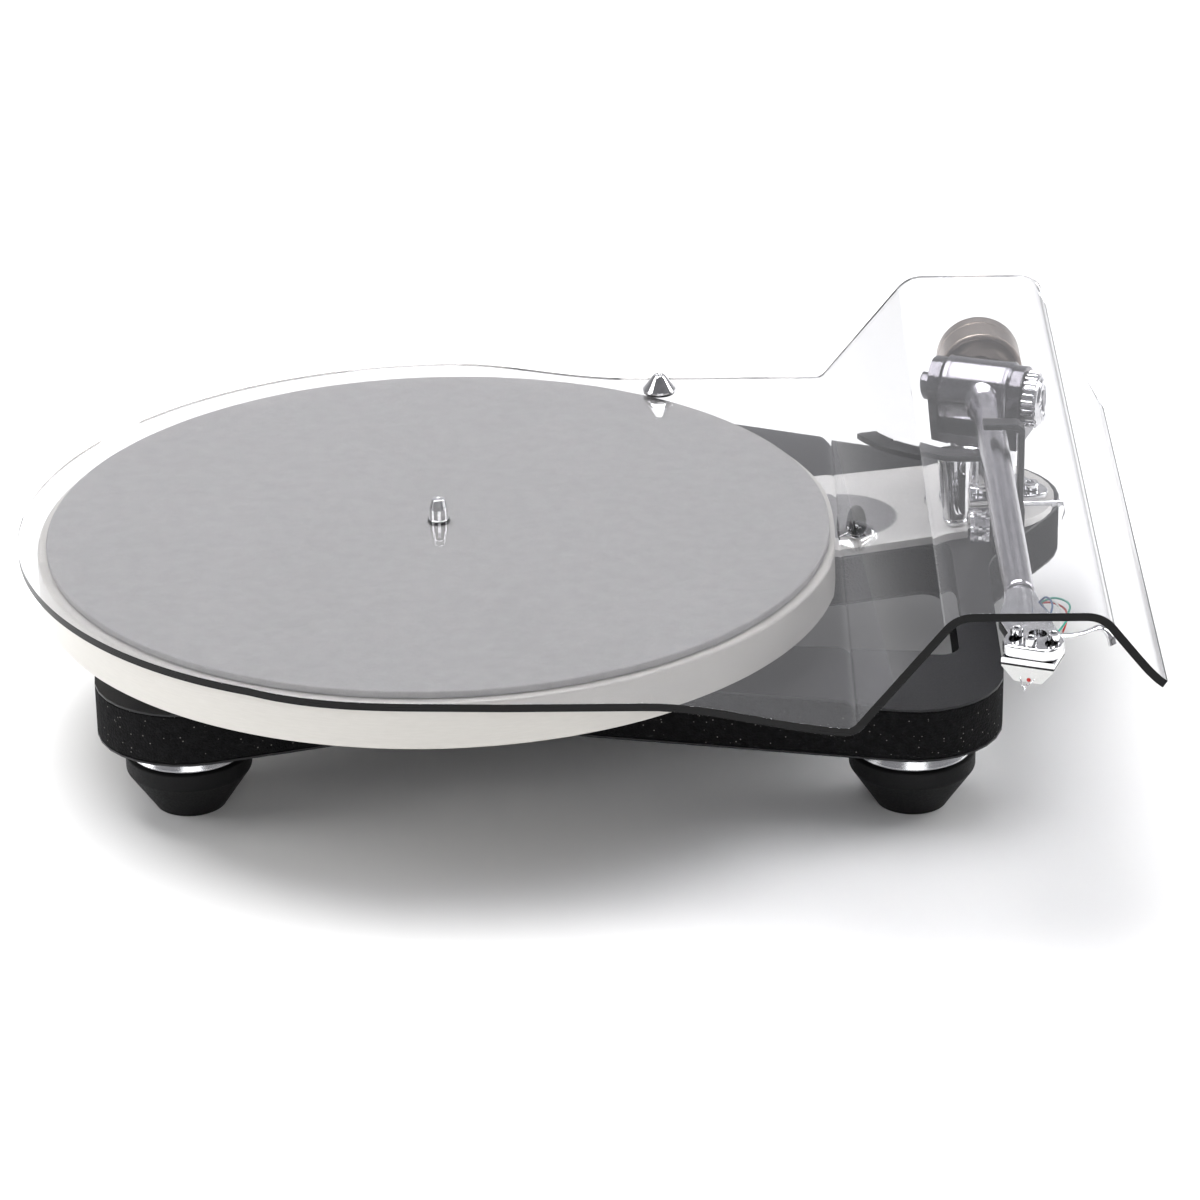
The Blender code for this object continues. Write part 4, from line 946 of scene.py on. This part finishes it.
        # Four fine leads bow out to the right of the neck and back into it.
        root = Vector((centre.x + 5.5, neck - 10, mid + 0.6))
        for k, (hue, out, rise) in enumerate((("blue", 4.2, 3.2), ("green", 10.5, 2.4), ("red", 9.5, -0.4),
                                              ("white", 7.0, 0.6))):
            start = from_stylus(-5.0 + 3.4 * k, back - 0.3, over - 1.6 - 0.2 * k)
            clip = from_stylus(-5.0 + 3.4 * k, back + 1.6, over - 1.7 - 0.2 * k)
            bend = Vector((centre.x + 6 + out, root.y - 6 + 1.5 * k, mid + rise))
            path = [start, clip, (clip + bend) / 2 + Vector((1.5, 0, -1.6)), bend,
                    (bend + root) / 2 + Vector((0.5, 2.0, 1.6 + 0.3 * rise)),
                    root + Vector((-0.8, 1.2 * k, 0))]
            made = bmesh.new()
            swept(made, through(path, 8), 0.38, 10)
            turned(made, [(0, 0), (0.62, 0, 0.1), (0.62, 2.6, 0.2), (0, 2.6)],
                   standing(start, clip - start), 16)
            piece("lead_%s_wire" % hue, made, "arm", [hue], hue + "_lead", "lead_" + hue)

        # The finger lift: a forged bar that widens and curls down at its tip.
        side = spot("finger_lift", 0, 1, 0.5)
        start = Vector((side.x - 0.8, side.y - 1.6, mid))
        bends = [(0, 0, 0), (4, -0.5, 0.7), (8, -1, 1.8), (11, -1.2, 3.2), (13.5, -1.5, 3.9), (15.5, -2, 3.1),
                 (17, -2.8, 1.2), (17.9, -3.5, -1.5)]
        path = through([start + Vector(b) for b in bends], 5)
        sizes = [2.0 - 0.6 * math.sin(math.pi * min(i / 18, 1)) + 0.3 * max(i - 22, 0) / 14
                 for i in range(len(path))]
        made = bmesh.new()
        swept(made, path, sizes, 20, 0, 0.45)
        piece("finger_lift_forging", made, "arm", ["polished"], "polished", "finger_lift", sharp=60)
        return {"FINISHED"}


class TURNTABLE_OT_lift(bpy.types.Operator):
    """Lift cylinder, platform, cue lever, bias knob and the clip that parks the arm"""
    bl_idname = "turntable.lift"
    bl_label = "Lift, rest and bias knob"

    def execute(self, context):
        tall, wide = height("lift_cylinder"), half_width("lift_cylinder")
        made = bmesh.new()
        turned(made, [(0, 0), (wide, 0, 0.4), (wide, 1.6, 0.2), (wide - 0.35, 1.9, 0.1),
                      (wide - 0.35, 2.5, 0.1), (wide, 2.8, 0.2), (wide, tall - 1.2, 0.4),
                      (wide - 1.2, tall, 0.3), (0, tall)], upright("lift_cylinder"), 72)
        piece("lift_cylinder_turning", made, "plinth", ["chrome"], "polished", "lift_cylinder")

        # Notches are filed in both edges of the platform's free arm.
        made = from_cad("lift_platform", 0.35)
        floor = levels("lift_platform")[1] - 4
        centre, _ = pivot()
        for angle, radius in ((212.0, 50.6), (215.5, 50.2), (213.5, 41.4)):
            t = math.radians(angle)
            x, y = centre.x + radius * math.cos(t), centre.y + radius * math.sin(t)
            place = standing(Vector((x, y, floor)), (0, 0, 1), t)
            cutter = bmesh.new()
            slab(cutter, [(-1.4, 0), (0, -1.2), (1.4, 0), (0, 1.2)], 0, 6, 0.02, place, steps=1)
            made = carved(made, cutter)
        piece("lift_platform_moulding", made, "lift_platform", ["plastic"], "black_plastic", "lift_platform")

        made = from_cad("lift_block", 0.6)
        block = spot("lift_block", 0, 0.5, 1)
        turned(made, [(0, -0.2), (2.6, -0.2), (2.6, 1.6, 0.4), (0, 1.6)],
               standing(block + Vector((6, 6, 0)), (0, 0, 1)), 32, 1)
        ball = spot("lift_block", 0.15, 0.55, 1) + Vector((0, 0, 0.6))
        bmesh.ops.create_icosphere(made, subdivisions=4, radius=2.4, matrix=Matrix.Translation(ball))
        for face in made.faces:
            if (face.calc_center_median() - ball).length < 2.45:
                face.material_index = 1
        piece("lift_block_moulding", made, "plinth", ["plastic", "chrome"], "black_plastic", "lift_block")

        # Bias knob: a drum with rows of filed points.
        wide, thick = height("bias_knob") / 2, span("bias_knob")[0]
        place = standing(spot("bias_knob", 0, 0.5, 0.5), (1, 0, 0))
        made = bmesh.new()
        turned(made, [(0, 0), (wide - 2.2, 0, 0.3), (wide - 1.0, 0.9, 0.3), (wide - 1.0, thick - 0.9, 0.3),
                      (wide - 2.2, thick, 0.3), (0, thick)], place, 64)
        point = bmesh.new()
        slab(point, [(-0.5, -0.75), (0.55, 0), (-0.5, 0.75)], -0.75, 0.75, 0.1, steps=1)
        repeated(made, point, "polished", place @ Matrix.Translation((0, 0, 1.5)),
                 Count=context.scene.turntable_sizes.knurl_count, Radius=wide - 0.75, Rows=5,
                 Row_Step=(0, 0, 1.5), Row_Turn=math.pi / 22, Own_Turn=0.25, Seed=5)
        piece("bias_knob_knurled", made, "bias_knob", ["polished"], "aluminium", "bias_knob", sharp=20)

        # Cue lever: rod, two collars and a thin crescent blade.
        start = spot("cue_lever", 0, 0, 0) + Vector((0, 1.5, 1.5))
        end = spot("cue_lever", 1, 0, 0) + Vector((-1.5, 1.5, 1.5))
        made = bmesh.new()
        swept(made, [start, start.lerp(end, 0.5), end], 0.95, 20)
        along = Vector((1, 0, 0))
        for back_, radius, thick in ((3.8, 1.45, 1.4), (1.6, 1.5, 1.2), (-0.2, 1.1, 1.0)):
            turned(made, [(0, -thick / 2), (radius, -thick / 2, 0.25), (radius, thick / 2, 0.25),
                          (0, thick / 2)], standing(end - along * back_, along), 28)
        _, deep, rise = span("cue_lever")
        blade = through([end + Vector(p) for p in ((-0.4, -3.2, -5.6), (0.7, -1.6, -2.8), (0.9, 0.4, 0.4),
                                                   (0.3, deep * 0.3, rise * 0.32),
                                                   (-1.4, deep * 0.55, rise * 0.6))], 6)
        sizes = [0.35 + 1.2 * math.sin(math.pi * (0.12 + 0.86 * i / (len(blade) - 1)))
                 for i in range(len(blade))]
        swept(made, blade, sizes, 16, 0, 0.28, along)
        piece("cue_lever_blade", made, "cue_lever", ["chrome"], "polished", "cue_lever", sharp=50)

        dressed("arm_rest_clip", "_moulding", 0.5, "plinth", "plastic", "black_plastic")
        return {"FINISHED"}


def eased(share):
    share = min(max(share, 0), 1)
    return share * share * (3 - 2 * share)


class TURNTABLE_OT_cover(bpy.types.Operator):
    """The clear sheet, bent over the arm, with its lifting knob"""
    bl_idname = "turntable.cover"
    bl_label = "Cover"

    def execute(self, context):
        sizes = context.scene.turntable_sizes
        low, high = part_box("cover_sheet")
        tip, front_most = high.x / MM - AXIS.x, low.y / MM - AXIS.y
        hump, flat_top = high.z / MM, spot("cover_knob", up=0).z - 0.3
        # The sheet is a half disc on the left, then straight, and folds up, over and down along three lines.
        thick, round_ = 3.0, 157.5
        folds, fold_steps = (148.0, 182.4, 232.5), 16
        end_drop, flare = 27.5, 2.0
        # y of the front's straight run, of the rear edge and of the rear edge at the sheet's end
        straight, rear_edge, end_rear = -160.5, 140.0, 62.0
        # The front leaves its straight run at forward_from; the rear leaves its circle and is straight at
        # rear_from; the front changes from arc to straight between x = -60 and x = 30.
        forward_from, rear_from, blend_from, blend_run = 78, 76, -60, 90
        arc_steps, flat_steps, hole = 70, 30, 4.1

        corners = [Vector(p) for p in ((-round_, flat_top), (folds[0], flat_top), (folds[1], hump),
                                       (folds[2], hump), (tip, hump - end_drop))]
        upper = []
        for before, here, after in zip(corners, corners[1:], corners[2:]):
            one, two = (before - here).normalized(), (after - here).normalized()
            bend = sizes.fold_radius / MM * (0.4 if here is corners[1] else 1.0)
            reach = bend / math.tan(one.angle(two) / 2)
            for k in range(fold_steps + 1):
                t = k / fold_steps
                upper.append((here + one * reach) * (1 - t) ** 2 + here * 2 * t * (1 - t)
                             + (here + two * reach) * t ** 2)
        slope = (corners[-1] - corners[-2]).normalized()
        out = Vector((-slope.y, slope.x))
        last = corners[-1]
        for away, lift in ((14, 0.0), (9, 0.1), (6.5, 0.3), (4, 0.6), (2, 1.1)):
            upper.append(last - slope * away + out * lift)
        upper.append(last + Vector((0, flare)))
        stations = [Vector((-round_ * math.cos(math.radians(2 + 88 * k / arc_steps)), flat_top))
                    for k in range(arc_steps)]
        stations += [Vector((upper[0].x * k / flat_steps, flat_top)) for k in range(flat_steps)] + upper

        def front(x):
            edge = -math.sqrt(max(round_ ** 2 - x * x, 0)) if x < 0 else -round_
            share = min(max((x - blend_from) / blend_run, 0), 1)
            edge = edge * (1 - share) + straight * share if x > blend_from else edge
            return edge + (front_most - straight) * eased((x - forward_from) / (folds[0] + 6 - forward_from))

        def back(x):
            if x <= 0:
                return math.sqrt(max(round_ ** 2 - x * x, 0))
            if x < rear_from:
                circle = math.sqrt(round_ ** 2 - x * x * 0.45)
                return circle * (1 - eased(x / rear_from)) + rear_edge * eased(x / rear_from)
            if x <= folds[2] + 2:
                return rear_edge
            return rear_edge + (end_rear - rear_edge) * (x - folds[2] - 2) / (tip - folds[2] - 2)

        made = bmesh.new()
        rows = []
        for i, point in enumerate(stations):
            before, after = stations[max(i - 1, 0)], stations[min(i + 1, len(stations) - 1)]
            one = (point - before).normalized() if i else (after - point).normalized()
            two = (after - point).normalized() if i < len(stations) - 1 else one
            along = (one + two).normalized()
            under = point + Vector((along.y, -along.x)) * thick / max(along.dot(one), 0.5)
            y1, y2 = front(point.x), back(point.x)
            rows.append([made.verts.new(p) for p in ((point.x, y1, point.y), (point.x, y2, point.y),
                                                     (under.x, y2, under.y), (under.x, y1, under.y))])
        for one, other in zip(rows, rows[1:]):
            for i in range(4):
                j = (i + 1) % 4
                # Only the front edge is painted; the rear edge is left clear.
                made.faces.new((one[i], one[j], other[j], other[i])).material_index = i // 3
        for row in (rows[0], rows[-1]):
            made.faces.new(row).material_index = 1
        cutter = bmesh.new()
        turned(cutter, [(0, flat_top - 6), (hole, flat_top - 6), (hole, flat_top + 3), (0, flat_top + 3)],
               count=64, look=1)
        made = carved(made, cutter)
        sharp = [e for e in made.edges if len(e.link_faces) == 2 and e.calc_face_angle(0) > math.radians(50)]
        bmesh.ops.bevel(made, geom=sharp, offset=sizes.cover_edge / MM, segments=2, profile=0.5,
                        affect="EDGES", clamp_overlap=True)
        piece("cover_sheet_bent", made, "cover", ["acrylic", "edge"], "acrylic", "cover_sheet")

        place = upright("cover_knob")
        made = bmesh.new()
        turned(made, [(0, 0.4), (5.0, 0.4), (5.0, 0, 0.1), (6.2, 0, 0.3), (6.4, 0.6, 0.3), (6.1, 0.9, 0.1)],
               place, 72, 1)
        turned(made, [(0, 0.7), (6.0, 0.7, 0.1), (6.6, 1.0, 0.2), (6.6, 1.8, 0.3), (2.75, 6.9, 0.5),
                      (2.2, 7.5, 0.25), (1.5, 7.5, 0.15), (1.25, 6.4), (0, 6.1)], place, 72, 0)
        piece("cover_knob_turning", made, "cover", ["chrome", "plastic"], "polished", "cover_knob")
        return {"FINISHED"}


class TURNTABLE_OT_stage(bpy.types.Operator):
    """A pale floor, soft boxes and the camera"""
    bl_idname = "turntable.stage"
    bl_label = "Studio set"

    def execute(self, context):
        scene = context.scene
        rgb = scene.turntable_colours.floor
        made, tree, shader = shader_of("floor_painted_matt", Roughness=0.9)
        place = add(tree, "ShaderNodeTexCoord").outputs["Object"]
        soft = add(tree, "ShaderNodeTexNoise", {"Vector": place, "Scale": 1.5, "Detail": 1.0})
        join(tree, shader, Base_Color=mixed(tree, soft.outputs[0], [c * 0.99 for c in rgb], rgb))
        floor = bmesh.new()
        bmesh.ops.create_grid(floor, x_segments=8, y_segments=8, size=6.0)
        mesh = bpy.data.meshes.new("studio_floor")
        floor.to_mesh(mesh)
        floor.free()
        mesh.materials.append(made)
        obj = bpy.data.objects.new("studio_floor", mesh)
        scene.collection.objects.link(obj)

        world = bpy.data.worlds.new("studio_air")
        world.use_nodes = True
        tree = world.node_tree
        air = tree.nodes["Background"]
        ray = add(tree, "ShaderNodeTexCoord").outputs["Generated"]
        parts = add(tree, "ShaderNodeSeparateXYZ", {0: ray})
        tone = mixed(tree, ranged(tree, parts.outputs[2], 0.0, 0.9), (0.34, 0.34, 0.35), (0.16, 0.16, 0.17))
        # A pale backdrop stands behind the turntable and shows in the top of its cover.
        screen = mixed(tree, ranged(tree, parts.outputs[1], 0.45, 0.85), tone, (0.58, 0.58, 0.6))
        tree.links.new(screen, air.inputs[0])
        air.inputs[1].default_value = 1.0
        scene.world = world

        for name, where, aim, size, power in (
                ("soft_box_top", (-0.2, 0.3, 1.5), (0, 0, 0), (1.5, 1.1), 52),
                ("soft_box_left", (-1.5, -0.3, 0.9), (0, 0, 0.05), (0.7, 1.6), 14),
                ("soft_box_right", (1.5, 0.5, 0.9), (0, 0, 0.05), (0.5, 1.5), 15),
                ("soft_box_front", (0.3, -2.2, 1.2), (0, 0, 0.05), (1.6, 0.7), 11)):
            light = bpy.data.lights.new(name, "AREA")
            light.shape = "RECTANGLE"
            light.size, light.size_y = size
            light.energy = power
            lamp = bpy.data.objects.new(name, light)
            lamp.location = where
            lamp.rotation_mode = "QUATERNION"
            lamp.rotation_quaternion = (Vector(aim) - Vector(where)).to_track_quat("-Z", "Y")
            scene.collection.objects.link(lamp)

        # The camera stands 1.75 m off and looks down at the turntable at 24.6 degrees.
        target, distance = Vector((0.01163, 0.00925, 0.0486)), 1.746
        turn, rise, roll = math.radians(0.954), math.radians(24.596), math.radians(-0.881)
        back = Vector((math.sin(turn) * math.cos(rise), -math.cos(turn) * math.cos(rise), math.sin(rise)))
        camera = bpy.data.cameras.new("studio_camera")
        camera.lens, camera.sensor_width = 138.28, 36.0
        holder = bpy.data.objects.new("studio_camera", camera)
        holder.location = target + back * distance
        holder.rotation_mode = "QUATERNION"
        holder.rotation_quaternion = ((-back).to_track_quat("-Z", "Y")
                                      @ Matrix.Rotation(roll, 3, "Z").to_quaternion())
        scene.collection.objects.link(holder)
        scene.camera = holder
        scene.view_settings.view_transform = "Standard"
        return {"FINISHED"}


STEPS = (TURNTABLE_OT_feet, TURNTABLE_OT_plinth, TURNTABLE_OT_drive, TURNTABLE_OT_platter,
         TURNTABLE_OT_arm_base, TURNTABLE_OT_arm, TURNTABLE_OT_head, TURNTABLE_OT_lift, TURNTABLE_OT_cover,
         TURNTABLE_OT_stage)


class TURNTABLE_PT_panel(bpy.types.Panel):
    """Lists the turntable's sizes, colours and making steps"""
    bl_idname = "TURNTABLE_PT_panel"
    bl_label = "Turntable"
    bl_space_type = "VIEW_3D"
    bl_region_type = "UI"
    bl_category = "Turntable"

    def draw(self, context):
        layout = self.layout
        for group in (context.scene.turntable_sizes, context.scene.turntable_colours):
            box = layout.box()
            for key in group.__annotations__:
                box.prop(group, key)
        for step in STEPS:
            layout.operator(step.bl_idname)


CLASSES = (TurntableSizes, TurntableColours, *STEPS, TURNTABLE_PT_panel)


def register():
    for item in CLASSES:
        bpy.utils.register_class(item)
    bpy.types.Scene.turntable_sizes = PointerProperty(type=TurntableSizes)
    bpy.types.Scene.turntable_colours = PointerProperty(type=TurntableColours)


def unregister():
    del bpy.types.Scene.turntable_colours
    del bpy.types.Scene.turntable_sizes
    for item in reversed(CLASSES):
        bpy.utils.unregister_class(item)


def main():
    register()
    make_looks(bpy.context.scene.turntable_colours)
    for step in STEPS:
        group, name = step.bl_idname.split(".")
        getattr(getattr(bpy.ops, group), name)()


if __name__ == "__main__":
    main()
